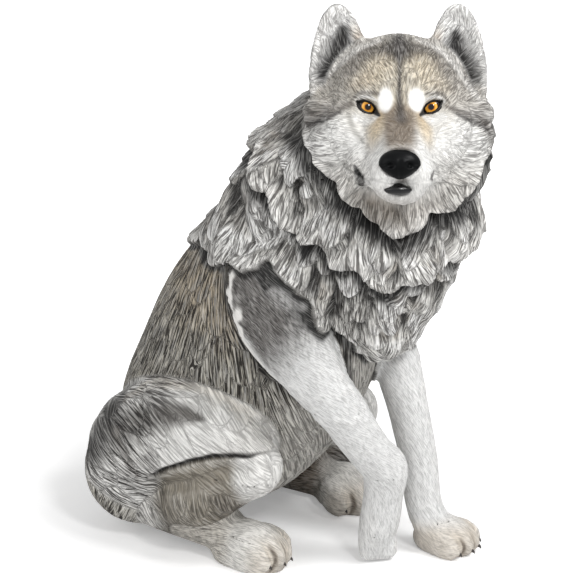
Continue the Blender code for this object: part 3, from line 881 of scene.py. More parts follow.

# Marks of the face in head space, mostly the coat's own pattern; one line is painted shade down the viewer's
# left of the muzzle.
FACE = (
    Dab(0, 12, 27, 24, (202, 193, 175), strength=0.95),
    Dab(-43, 1, 9, 13, (98, 94, 88), strength=0.75, soft=0.6),
    Dab(45, -4, 7, 10, (120, 115, 108), strength=0.5, soft=0.6),
    Dab(-32, 11, 15, 12, (190, 184, 174), turn=28, strength=0.8, soft=0.6),
    Dab(32, 9, 14, 12, (186, 180, 171), turn=-28, strength=0.8, soft=0.6),
    Dab(0, 27, 20, 5, (84, 77, 71), strength=0.85, soft=0.7),
    Dab(0, 29, 6, 7, (56, 52, 49), strength=0.9, soft=0.8),
    Dab(-20, 21, 9, 4, (104, 97, 90), turn=42, strength=0.7, soft=0.7),
    Dab(20, 20, 9, 4, (104, 97, 90), turn=-42, strength=0.7, soft=0.7),
    Dab(-9.5, 18.5, 6.5, 5.0, (218, 202, 174), turn=15, strength=0.5, soft=0.8),
    Dab(10.5, 18.5, 6.5, 5.5, (218, 202, 174), turn=-15, strength=0.5, soft=0.8),
    Dab(-17, 12, 6, 3.5, (206, 188, 160), turn=20, strength=0.5, soft=0.9),
    Dab(18, 11, 6, 3.5, (206, 188, 160), turn=-20, strength=0.4, soft=0.9),
    Dab(0, -5, 12, 6, (138, 122, 103), strength=0.8, soft=0.6),
    Dab(-1, -14, 7.8, 12.2, (114, 100, 84), strength=0.95, soft=0.4),
    Dab(-11.8, -11, 3.0, 7.5, (222, 200, 164), turn=-12, strength=0.75, soft=0.8),
    Dab(11.6, -11, 3.0, 7.5, (222, 200, 164), turn=12, strength=0.75, soft=0.8),
    Dab(-10.5, -4, 2.0, 3.0, (196, 172, 138), turn=-30, strength=0.6, soft=0.8),
    Dab(10.5, -4, 2.0, 3.0, (196, 172, 138), turn=30, strength=0.6, soft=0.8),
    Streak(
        ((0, 33, 2.4), (0, 24, 1.6), (-0.2, 14, 1.0), (-0.3, 6, 1.2), (-0.2, 0, 1.8), (0, -6, 2.6)),
        (66, 61, 58), 0.9, 0.9,
    ),
    Dab(-6.9, 3.0, 3.5, 5.9, WHITE, turn=-4, soft=0.25),
    Dab(7.9, 2.9, 4.2, 5.8, WHITE, turn=8, soft=0.25),
    Streak(((-11, -4.8, 1.0), (-15, -6.6, 2.2), (-20, -5.4, 2.4)), WHITE, 0.8, 0.7),
    Streak(((11, -4.8, 1.0), (15, -6.6, 2.2), (20, -5.2, 2.4)), WHITE, 0.8, 0.7),
    Streak(
        ((-20.2, 3.0, 0.5), (-17.4, 4.5, 0.9), (-14.0, 4.4, 0.8), (-11.3, 3.0, 0.5)),
        WHITE, 0.9, 0.5,
    ),
    Streak(
        ((11.8, 3.0, 0.5), (14.8, 4.2, 0.8), (18.2, 4.3, 0.9), (21.2, 2.4, 0.5)),
        WHITE, 0.9, 0.5,
    ),
    Streak(
        ((-23.0, 2.4, 0.7), (-19, 6.2, 0.8), (-14, 6.6, 0.9), (-10.5, 5.8, 1.0)),
        (88, 81, 75), 0.75, 0.9,
    ),
    Streak(
        ((23.4, 2.2, 0.7), (19.6, 5.8, 0.8), (15, 6.0, 0.9), (12.4, 5.8, 1.0)),
        (88, 81, 75), 0.75, 0.9,
    ),
    Streak(
        ((-21, 1.6, 0.8), (-27, -0.2, 1.8), (-36, -3.4, 3.6), (-46, -6.5, 4.4), (-50, -14, 5.0)),
        (98, 91, 85), 0.75, 0.9,
    ),
    Streak(
        ((-28, -2.2, 0.8), (-37, -6.6, 1.2), (-46, -9.6, 1.6), (-50, -16, 2.0)),
        (62, 57, 54), 0.8, 0.9,
    ),
    Streak(
        ((21, 0.8, 0.8), (27, -1.6, 1.4), (34, -4.6, 2.6), (41, -8.4, 3.6), (46, -15, 4.4)),
        (92, 85, 79), 0.8, 0.9,
    ),
    Streak(
        ((27, -3.0, 0.6), (34, -6.8, 1.0), (41, -11, 1.4), (46, -18, 1.8)),
        (58, 54, 51), 0.8, 0.9,
    ),
    Streak(((-49, -16, 3.5), (-46.5, -28, 2.6), (-40, -40, 2.2)), (110, 104, 98), 0.6, 0.9),
    Streak(((46, -16, 3.5), (44.5, -28, 2.8), (38, -38, 2.2)), (104, 98, 92), 0.7, 0.9),
    Streak(
        ((-21.2, -27.6, 0.6), (-20.0, -30.4, 1.3), (-18.5, -32.8, 1.6), (-16.8, -35.0, 0.8)),
        (16, 15, 15), 1.0, 0.35,
    ),
    Streak(((15.0, -30.6, 0.35), (14.1, -32.8, 0.7), (13.2, -34.9, 0.5)), (52, 48, 45), 0.9, 0.4),
    Dab(-13, -46.5, 9, 6.0, (140, 125, 108), turn=-30, strength=0.75, soft=0.8),
    Dab(-3, -51, 11, 7, (146, 132, 116), strength=0.7, soft=0.9),
    Dab(13, -46, 8, 5.0, (176, 166, 154), turn=30, strength=0.5, soft=0.9),
    Dab(0, -35.4, 2.6, 1.0, (128, 120, 114), strength=0.7, soft=0.7),
    # Painted shade down the viewer's left side of the muzzle.
    Streak(((-24, -3.4, 1.0), (-21.3, -11, 1.3), (-17.5, -16.5, 1.0)), (150, 148, 142), 0.6, 0.9),
    Streak(
        ((-43, 6, 1.2), (-36, 14.5, 1.7), (-29.5, 20.7, 1.9), (-19.7, 28.3, 1.7), (-9, 32.3, 1.2)),
        (244, 241, 236), 0.85, 0.6,
    ),
    Streak(
        ((9, 32.8, 1.2), (16.4, 29.9, 1.6), (25, 23, 1.9), (31.7, 14, 1.8), (38.5, 4, 1.2)),
        (244, 241, 236), 0.85, 0.6,
    ),
    Streak(((-12.4, -0.9, 1.7), (-11.2, -2.9, 1.3), (-9.9, -4.4, 0.8)), (14, 13, 13), 1.0, 0.35),
    Streak(((12.4, -1.0, 1.7), (11.0, -2.9, 1.3), (9.5, -4.2, 0.8)), (14, 13, 13), 1.0, 0.35),
)

EARS = (
    Streak(
        ((-26.0, 38.0, 2.6), (-27.2, 31, 5.2), (-29.6, 23, 7.0), (-33.6, 15, 6.8)),
        (34, 32, 31), 1.0, 0.7,
    ),
    Streak(
        ((27.6, 36, 2.4), (28.0, 28, 5.2), (31.0, 18, 7.0), (35.4, 9, 6.8)),
        (34, 32, 31), 1.0, 0.7,
    ),
    Dab(-17.3, 33, 2.8, 7.0, (190, 166, 136), turn=25, strength=0.7, soft=0.8),
    Dab(16.4, 31, 2.8, 7.0, (190, 166, 136), turn=-25, strength=0.7, soft=0.8),
)

# Marks on the side of each haunch, from front to back and up: a dark band, a white line along the top of the
# thigh that is a painted highlight, a dark rear end and a grey line.
SIDE = (
    Streak(
        ((33, 80.5, 2.0), (44, 79, 3.6), (56, 77, 6.5), (70, 70, 7.5), (82, 62, 7.0)),
        (84, 80, 75), 0.9, 0.7,
    ),
    Streak(
        ((4, 74, 1.4), (16, 83, 1.5), (30, 87.5, 1.6), (49, 89.5, 1.6), (66, 86.5, 1.5), (82, 77, 1.4)),
        (240, 235, 226), 0.9, 0.6,
    ),
    Streak(((86, 72, 6.0), (94, 60, 9.0), (99, 47, 9.0)), (66, 63, 60), 0.92, 0.7),
    Streak(((80, 64, 2.0), (72, 54, 3.0), (66, 44, 2.5)), (120, 114, 108), 0.6, 0.8),
)


class Paint:
    """The painter's work: a colour for every point, laid on zone by zone."""

    def __init__(self, anatomy: Anatomy, groove: Array, hollow: Array, locks: LockField) -> None:
        """Lays the zones, washes the cuts dark, adds painted shade in the hollows, under the
        locks and below the mane's layers, and brushes the ridges light, which also serves as
        a painted highlight.
        """
        self.anatomy = anatomy
        p = anatomy.points
        self.colour = np.tile(tone(176, 172, 161), (len(p), 1))
        self.washing = np.full(len(p), 1.0)
        self.noise = value_noise(p, 14.0, 41)
        self.fine = value_noise(p, 4.0, 42)
        self.body()
        self.legs()
        self.mane(locks.height)
        self.head()
        # The wash, with painted shade at the sides and roots of the locks and in bands below the mane's
        # layers.
        self.wash(groove, hollow, np.maximum(locks.edge, self.shadow_bands))

    def lay(self, colour: tuple, mask: Array) -> None:
        """Blends one colour over what is there."""
        self.colour += (tone(*colour) - self.colour) * np.clip(mask, 0, 1)[:, None]

    def ink(self, strength: float, mask: Array) -> None:
        """Sets how dark the wash settles in one zone."""
        self.washing += (strength - self.washing) * np.clip(mask, 0, 1)

    def body(self) -> None:
        """Flanks and back: grey-brown, darker along the spine, pale at the belly."""
        p = self.anatomy.points
        high = smooth_step(p[:, 2] + 10 * self.noise, 96, 140)
        self.lay((190, 171, 142), high * 0.6)
        self.lay((184, 179, 167), smooth_step(p[:, 1] + 12 * self.noise - 0.2 * p[:, 2], 22, 62) * 0.75)
        self.ink(1.25, np.ones(len(p)))
        self.lay((196, 188, 176), smooth_step(self.noise + 0.4 * self.fine, 0.15, 0.9) * 0.5)
        belly = smooth_step(p[:, 2] + 0.9 * p[:, 1] + 9 * self.noise, 108, 66)
        self.lay((224, 221, 215), belly * 0.85)
        self.ink(0.65, belly)

    def legs(self) -> None:
        """Haunches, shanks, forelegs, feet and tail, with a painted highlight along the top of
        each thigh and painted shade in the fold of the haunch, between the toes and behind
        each shoulder's lip.
        """
        a, p = self.anatomy, self.anatomy.points
        for name in ("haunch", "left_haunch"):
            mask = a.limb(name)
            self.lay((238, 237, 234), mask * 0.97)
            self.ink(0.42, mask)
            self.ink(0.95, mask * smooth_step(p[:, 1] + 6 * self.noise, 40, 66))
            flat = p[:, [1, 0, 2]] + 2.2 * np.stack([self.fine, self.fine, self.noise], 1)
            # Haunch marks, with the painted highlight along the top of the thigh.
            for mark in SIDE:
                self.lay(mark.colour, mask * mark.mask(flat))
            knee = smooth_step(p[:, 1] + 4 * self.noise, 22, 4)
            self.lay((228, 226, 222), mask * knee * 0.9)
            self.ink(0.45, mask * knee)
        for upper, lower in (("haunch", "shank"), ("left_haunch", "left_shank")):
            ahead = p[:, 1] + 3 * self.noise
            under = smooth_step(a.over_crease, 0.7, -0.7)
            under *= smooth_step(p[:, 1] + 5 * self.noise + 2 * self.fine, 66, 52)
            mask = np.maximum(a.limb(lower), a.limb(upper)) * under
            self.lay((234, 232, 228), a.limb(lower) * (1 - under))
            self.lay((150, 143, 130), mask)
            heel = smooth_step(p[:, 2] - 0.35 * p[:, 1] + 5 * self.noise, 14, -4)
            self.lay((104, 99, 92), mask * heel * 0.8)
            calf = smooth_step(ahead, 26, 16) * smooth_step(p[:, 2], 50, 38)
            self.lay((112, 105, 96), mask * calf * 0.7)
            shin = smooth_step(ahead, 13, 5) * smooth_step(p[:, 2], 24, 32)
            self.lay((240, 239, 236), mask * shin * 0.95)
            self.ink(0.4, mask * shin)
        for name in ("right_foot", "left_foot"):
            mask = a.limb(name)
            back = (212, 207, 198) if name == "right_foot" else (116, 103, 90)
            self.lay(back, mask * 0.9)
            instep = smooth_step(p[:, 1] + 3 * self.noise, 26, 14)
            self.lay((236, 234, 229), mask * instep)
            self.ink(0.4, mask * instep)
        for name in ("right_leg", "left_leg"):
            mask = a.limb(name)
            self.lay((233, 233, 232), mask)
            rear, high = p[:, 1] - 23 + 3 * self.noise, p[:, 2] - 140 + 2 * self.fine
            ahead, down = 0.715 * high - 0.698 * rear, -0.715 * rear - 0.698 * high
            shoulder = smooth_step(down, 54, 26) * smooth_step(ahead, -4, 1) * smooth_step(ahead, 40, 20)
            self.lay((86, 81, 77), mask * shoulder * 0.9)
            self.ink(0.30, mask)
            self.ink(0.6, mask * shoulder)
            # A white lip where the shoulder lies over the flank, and a dark line of painted shade on the
            # flank just behind it.
            reach, high = a.limbs[name][2] + 0.08 * self.fine, smooth_step(p[:, 2], 76, 96) * (1 - a.mane)
            rim = smooth_step(reach, 0.92, 0.98) * smooth_step(reach, 1.10, 1.06) * (rear > -30)
            self.lay((246, 244, 240), rim * high * 0.95)
            self.ink(0.15, rim * high)
            self.lay((44, 41, 38), smooth_step(reach, 1.07, 1.11) * smooth_step(reach, 1.5, 1.2) * high * 0.9)
        near = a.limb("left_leg", "left_foot", "right_foot")
        for paw in PAWS:
            self.lay((204, 188, 166), near * paw.toe_tint(p) * (0.3 if paw.name == "left_fore" else 0.55))
            # Painted shade in the clefts between the toes.
            self.lay((84, 70, 58), near * paw.clefts(p) * 0.7)
        # Painted shade along the fold between haunch and shank.
        self.lay((26, 23, 22), a.crease_line)
        tail = a.limb("tail")
        self.lay((136, 127, 116), tail)
        self.lay((190, 184, 176), tail * smooth_step(p[:, 2], 9, 3))
        tip = smooth_step(p[:, 1], 44, 18) * (p[:, 0] > 50)
        self.lay((66, 61, 57), tail * tip * 0.9)

    def mane(self, height: Array) -> None:
        """Off-white with grey and brown tints.

        Painted shade sits at the roots of the locks and beside the viewer's left of the face;
        painted highlights sit on the lock tips and just above the layers' edges. The bands of
        painted shadow below those edges are found here and laid on with the wash.
        """
        a, p = self.anatomy, self.anatomy.points
        self.lay((233, 231, 226), a.mane)
        grey = smooth_step(a.turn + 18 * self.noise, 100, 155)
        self.lay((150, 144, 137), a.mane * grey * 0.7)
        self.lay((172, 160, 144), a.mane * smooth_step(self.noise + 0.5 * self.fine, 0.25, 0.9) * 0.5)
        self.lay((150, 144, 138), a.mane * smooth_step(-self.noise + 0.5 * self.fine, 0.2, 0.9) * 0.4)
        # Painted shade where the locks lie lowest, at their roots, and painted highlights where they stand
        # highest, at their tips.
        steps = np.percentile(height[a.mane > 0.5], (6, 34, 42, 75))
        self.lay((54, 51, 48), a.mane * smooth_step(height, steps[1], steps[0]) * 0.94)
        self.lay((253, 252, 250), a.mane * smooth_step(height, steps[2], steps[3]) * 0.95)
        # Painted shade on the mane beside the viewer's left of the face.
        beside = Dab(-45, -2, 12, 17, (92, 88, 82), soft=0.5)
        side_face = beside.mask(a.head) * smooth_step(a.head[:, 1], 52, 40)
        self.lay(beside.colour, a.mane * side_face * 0.65)
        self.ink(0.84, a.mane)
        over_hem = p[:, 2] - a.edge + 2.5 * value_noise(p, 9.0, 5)
        # A painted highlight just above the lower edges of the ruff, the collar and the mane's hem.
        for over, where in ((a.over_ruff, a.below_face), (a.over_collar, a.mane), (over_hem, 1.0)):
            above = smooth_step(over, 0.0, 1.5) * smooth_step(over, 12, 4)
            self.lay((247, 245, 241), above * where * 0.75)
        # Bands of painted shadow just below those edges, where each layer overhangs the next; they are laid
        # on with the wash.
        self.shadow_bands = np.zeros(len(p))
        for over, where, reach in (
            (a.over_ruff, a.below_face * (1 - a.ear), 12.0),
            (a.over_collar, a.mane, 13.0),
            (over_hem, 1 - a.head_mask, 6.0),
        ):
            below = smooth_step(over, 0.3, -0.3) * smooth_step(over, -reach, -0.4 * reach) * where
            self.shadow_bands = np.maximum(self.shadow_bands, below)

    def head(self) -> None:
        """Face, ears and the back of the head."""
        a, h = self.anatomy, self.anatomy.head
        front = smooth_step(h[:, 1], 34, 22)
        self.lay((140, 132, 123), a.head_mask * (1 - front))
        self.lay((243, 242, 239), a.head_mask * front)
        self.ink(0.32, a.head_mask)
        self.ink(0.68, a.head_mask * smooth_step(a.from_cheeks(), 0.4, 0.8))
        low = smooth_step(h[:, 2], -18, -36) * smooth_step(np.abs(h[:, 0]), 12, 24)
        self.lay((226, 221, 213), a.head_mask * front * low * 0.6)
        face = a.head_mask * front * (1 - a.ear)
        brow = smooth_step(h[:, 2], -2, 8)
        self.ink(0.62, face * brow)
        for mark in FACE:
            self.lay(mark.colour, face * mark.mask(h))
        for x in (-6.9, 7.9):
            self.ink(0.0, face * Dab(x, 3.0, 4.0, 6.2, WHITE).mask(h))
        self.ink(0.2, face * Dab(0, -36, 17, 10, WHITE).mask(h))
        for centre, radii, _ in Sculptor.recesses:
            self.lay((20, 19, 19), smooth_step(ball(h, centre, radii), 0.02, 0.2))
        crest = smooth_step(h[:, 2], 28.5, 33.5) * smooth_step(np.abs(h[:, 0]), 6, 12)
        self.lay((204, 199, 192), face * crest * 0.8)
        cup = smooth_step(-(a.normals @ a.pose.turn())[:, 1], -0.2, 0.25)
        self.lay((118, 110, 102), a.ear * (1 - cup))
        self.lay((240, 239, 237), a.ear * cup)
        for mark in EARS:
            self.lay(mark.colour, a.ear * cup * mark.mask(h))
        self.lay((84, 78, 73), a.ear * cup * (1 - cup) * 4 * smooth_step(self.fine, -0.3, 0.3) * 0.7)
        self.ink(0.62, a.ear)

    def wash(self, groove: Array, hollow: Array, lock_and_band_shade: Array) -> None:
        """Dark wash settles in the strokes; painted shade goes on the sides and roots of the
        locks, the shadow bands and the hollows, and a light dry brush on the ridges also
        serves as a painted highlight.
        """
        dark = np.minimum(self.colour * 0.14, tone(70, 65, 60))
        self.colour += (dark - self.colour) * np.clip(groove * self.washing, 0, 1)[:, None]
        # Painted shade at the sides and roots of the locks and in the bands under the mane's layers.
        self.lay((21, 20, 19), 0.96 * lock_and_band_shade)
        # Painted shade in the hollows of the fur.
        furry = np.clip(self.anatomy.mane + self.anatomy.head_mask, 0.25, 1)
        hollow_shade = smooth_step(hollow, 0.3, 1.7) * furry
        self.lay((40, 37, 35), hollow_shade * 0.9)
        # A light dry brush on the ridges, which also serves as a painted highlight.
        dry_brush_and_highlight = smooth_step(-hollow, 0.1, 0.8) * (1 - groove)
        light = np.maximum(self.colour, tone(244, 242, 238))
        self.colour += (light - self.colour) * (dry_brush_and_highlight * 0.3)[:, None]


class NodeWork:
    """Makes and joins the nodes of one tree."""

    def __init__(self, tree: bpy.types.NodeTree) -> None:
        """Keeps the tree."""
        self.tree = tree

    def node(self, kind: str, **values: float) -> bpy.types.Node:
        """A new node with these values on the sockets of these names."""
        node = self.tree.nodes.new(f"ShaderNode{kind}")
        for name, value in values.items():
            node.inputs[name].default_value = value
        return node

    def join(self, source: Socket, target: Socket) -> None:
        """Links two sockets."""
        self.tree.links.new(source, target)

    def layer(self, name: str) -> bpy.types.Node:
        """Reads one of the piece's own layers."""
        node = self.node("Attribute")
        node.attribute_name = name
        return node

    def maths(self, how: str, one: Socket, other: Socket | float) -> Socket:
        """The result of a sum or product of a value with another value or a number."""
        node = self.node("Math")
        node.operation = how
        self.join(one, node.inputs[0])
        if isinstance(other, float):
            node.inputs[1].default_value = other
        else:
            self.join(other, node.inputs[1])
        return node.outputs["Value"]

    def length(self, vector: Socket) -> Socket:
        """The length of a vector."""
        node = self.node("VectorMath")
        node.operation = "LENGTH"
        self.join(vector, node.inputs[0])
        return node.outputs["Value"]

    def ranged(
        self, value: Socket, low: float, high: float, start: float = 0.0, end: float = 1.0
    ) -> Socket:
        """From start at low to end at high, clamped."""
        limits = {"From Min": low, "From Max": high, "To Min": start, "To Max": end}
        node = self.node("MapRange", **limits)
        self.join(value, node.inputs["Value"])
        return node.outputs["Result"]


def principled(name: str, **values: float | tuple) -> tuple[bpy.types.Material, bpy.types.Node, NodeWork]:
    """A new material with its Principled shader.

    Args:
        name: The material's name.
        values: What the shader's sockets are set to, with _ for a space in their names.

    Returns:
        The material, its shader and the work on its tree.
    """
    material = bpy.data.materials.new(name)
    material.use_nodes = True
    shader = material.node_tree.nodes["Principled BSDF"]
    for socket, value in values.items():
        shader.inputs[socket.replace("_", " ")].default_value = value
    return material, shader, NodeWork(material.node_tree)


class ResinPaint:
    """The matte painted resin: laid-on colours, fine hairs cut along the fur and washed dark, and painted
    highlights on the hair tops.
    """

    hair_scale: float = 1.2
    finer: float = 2.1

    def __init__(self, name: str) -> None:
        """Makes the material from the piece's own paint, wash and fur layers."""
        self.material, shader, self.work = principled(name, Roughness=0.66, Specular_IOR_Level=0.3)
        work = self.work
        bold = self.hair(self.hair_scale, 0.455, 0.41)
        fine = self.hair(self.hair_scale * self.finer, 0.475, 0.405)
        wash = work.layer("wash").outputs["Fac"]
        cut = work.maths("MAXIMUM", bold, work.maths("MULTIPLY", fine, 0.75))
        dark = work.maths("MULTIPLY", cut, wash)
        paint = work.layer("paint").outputs["Color"]
        shaded = self.mix("MULTIPLY", dark, paint, (0.06, 0.054, 0.05))
        # Painted highlights screened over the tops of the hairs.
        lit = work.maths("MULTIPLY", self.hair(self.hair_scale, 0.52, 0.64), wash)
        with_highlights = self.mix("SCREEN", lit, shaded, (0.20, 0.197, 0.19))
        work.join(with_highlights, shader.inputs["Base Color"])
        bump = work.node("Bump", Strength=0.7, Distance=-0.0004)
        work.join(dark, bump.inputs["Height"])
        work.join(bump.outputs["Normal"], shader.inputs["Normal"])

    def hair(self, scale: float, low: float, high: float) -> Socket:
        """Thin spindles along the fur: noise in the hair coordinates, cut between two levels."""
        noise = self.work.node("TexNoise", Scale=scale, Detail=1.0, Roughness=0.45)
        self.work.join(self.work.layer("fur").outputs["Vector"], noise.inputs["Vector"])
        return self.work.ranged(noise.outputs["Fac"], low, high)

    def mix(self, how: str, share: Socket, base: Socket, colour: tuple) -> Socket:
        """One colour mixed over another by a share."""
        node = self.work.node("Mix")
        node.data_type = "RGBA"
        node.blend_type = how
        self.work.join(share, node.inputs[0])
        colours = [socket for socket in node.inputs if socket.type == "RGBA"]
        self.work.join(base, colours[0])
        colours[1].default_value = (*colour, 1.0)
        return [socket for socket in node.outputs if socket.type == "RGBA"][0]


@dataclass(frozen=True)
class Gloss:
    """A plain glossy finish, such as the nose leather and the claws."""

    name: str
    colour: tuple
    roughness: float
    coat: float = 0.0
    specular: float = 0.5

    def material(self) -> bpy.types.Material:
        """The Principled material of this finish."""
        return principled(
            self.name,
            Base_Color=(*tone(*self.colour), 1.0),
            Roughness=self.roughness,
            Specular_IOR_Level=self.specular,
            Coat_Weight=self.coat,
            Coat_Roughness=0.12,
        )[0]


def new_piece(
    name: str, points: Array, faces: list | Array, material: bpy.types.Material
) -> bpy.types.Object:
    """A smooth-shaded object of the figurine, with its place in its mesh.

    Args:
        name: The object's name.
        points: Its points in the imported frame, in metres.
        faces: Rows of point numbers.
        material: Its finish.

    Returns:
        The object, linked to the scene.
    """
    mesh = bpy.data.meshes.new(name)
    mesh.from_pydata(points.tolist(), [], faces if isinstance(faces, list) else faces.tolist())
    mesh.shade_smooth()
    mesh.materials.append(material)
    obj = bpy.data.objects.new(name, mesh)
    bpy.context.scene.collection.objects.link(obj)
    return obj


def seat(obj: bpy.types.Object, node: str) -> None:
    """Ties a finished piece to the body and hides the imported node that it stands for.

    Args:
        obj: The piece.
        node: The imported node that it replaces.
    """
    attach(obj, "root")
    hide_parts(node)
    count = sum(len(face.vertices) - 2 for face in obj.data.polygons)
    log.info("%s: %d triangles", obj.name, count)


def add_trim(name: str, points: Array, faces: list | Array, finish: bpy.types.Material) -> None:
    """Makes a closed piece of the painted casting, with its faces turned outwards."""
    obj = new_piece(name, points, faces, finish)
    bm = bmesh.new()
    bm.from_mesh(obj.data)
    bmesh.ops.recalc_face_normals(bm, faces=bm.faces[:])
    bm.to_mesh(obj.data)
    bm.free()
    seat(obj, "wolf_body")


class PaintedCasting:
    """The carved and painted skin, made as closed pieces that lie on top of each other."""

    slices: int = 6
    rounds: int = 12

    def __init__(self, skin: Skin, points: Array, paint: Paint, fur: Array, pose: Pose) -> None:
        """Keeps the skin's new points, its paint and its fur coordinates."""
        self.skin = skin
        self.points = points
        self.paint = paint
        self.fur = fur
        self.pose = pose

    def build(self) -> None:
        """Cuts the skin into slices of equal size by height and makes a piece of each."""
        quads = self.skin.quads
        middle = self.skin.points[quads, 2].mean(1)
        cuts = np.quantile(middle, np.linspace(0, 1, self.slices + 1)[1:-1])
        label = np.searchsorted(cuts, middle)
        label = self.clean(label)
        shown = Skin.normals(self)
        material = ResinPaint("painted resin").material
        for number in range(self.slices):
            self.piece(number, quads[label == number], shown, material)

    @property
    def quads(self) -> Array:
        """The skin's quads, for the normals of the carved surface."""
        return self.skin.quads

    def clean(self, label: Array) -> Array:
        """Moves quads so that no two slices meet only at a point, which would pinch a rim."""
        quads = self.skin.quads
        for _ in range(self.rounds):
            moved = 0
            for number in range(self.slices - 1):
                tails = self.rim(quads[label <= number])[:, 0]
                seen, count = np.unique(tails, return_counts=True)
                pinched = seen[count > 1]
                if len(pinched):
                    touched = np.isin(quads, pinched).any(1) & (label > number)
                    label[touched] = number
                    moved += len(pinched)
            if not moved:
                break
        return label

    @staticmethod
    def rim(quads: Array) -> Array:
        """Directed edges that only one of these quads has, in its winding."""
        edges = np.vstack([quads[:, [k, (k + 1) % 4]] for k in range(4)]).astype(np.int64)
        top = int(quads.max()) + 1
        keys = edges[:, 0] * top + edges[:, 1]
        back = edges[:, 1] * top + edges[:, 0]
        return edges[~np.isin(keys, back)]

    def piece(self, number: int, quads: Array, shown: Array, material: bpy.types.Material) -> None:
        """One slice: its quads, a hidden cap on each rim, the paint and the normals."""
        follow = {int(b): int(a) for a, b in self.rim(quads)}
        caps = []
        while follow:
            start, spot = follow.popitem()
            loop = [start]
            while spot != start:
                loop.append(spot)
                spot = follow.pop(spot)
            caps.append(loop)
        used, local = np.unique(quads, return_inverse=True)
        place = np.zeros(len(self.points), int)
        place[used] = np.arange(len(used))
        faces = local.reshape(-1, 4).tolist() + [place[loop].tolist() for loop in caps]
        obj = new_piece(f"wolf_skin_{number + 1}", self.pose.to_frame(self.points[used]), faces, material)
        layer = obj.data.color_attributes.new("paint", "FLOAT_COLOR", "POINT")
        colour = np.c_[self.paint.colour[used], np.ones(len(used))]
        layer.data.foreach_set("color", colour.astype(np.float32).ravel())
        layer = obj.data.attributes.new("wash", "FLOAT", "POINT")
        layer.data.foreach_set("value", self.paint.washing[used].astype(np.float32))
        layer = obj.data.attributes.new("fur", "FLOAT_VECTOR", "POINT")
        layer.data.foreach_set("vector", self.fur[used].astype(np.float32).ravel())
        obj.data.normals_split_custom_set_from_vertices(shown[used].tolist())
        seat(obj, "wolf_body")


class Side(Enum):
    """A side of the wolf, as the sign of X in head space."""

    RIGHT = -1
    LEFT = 1


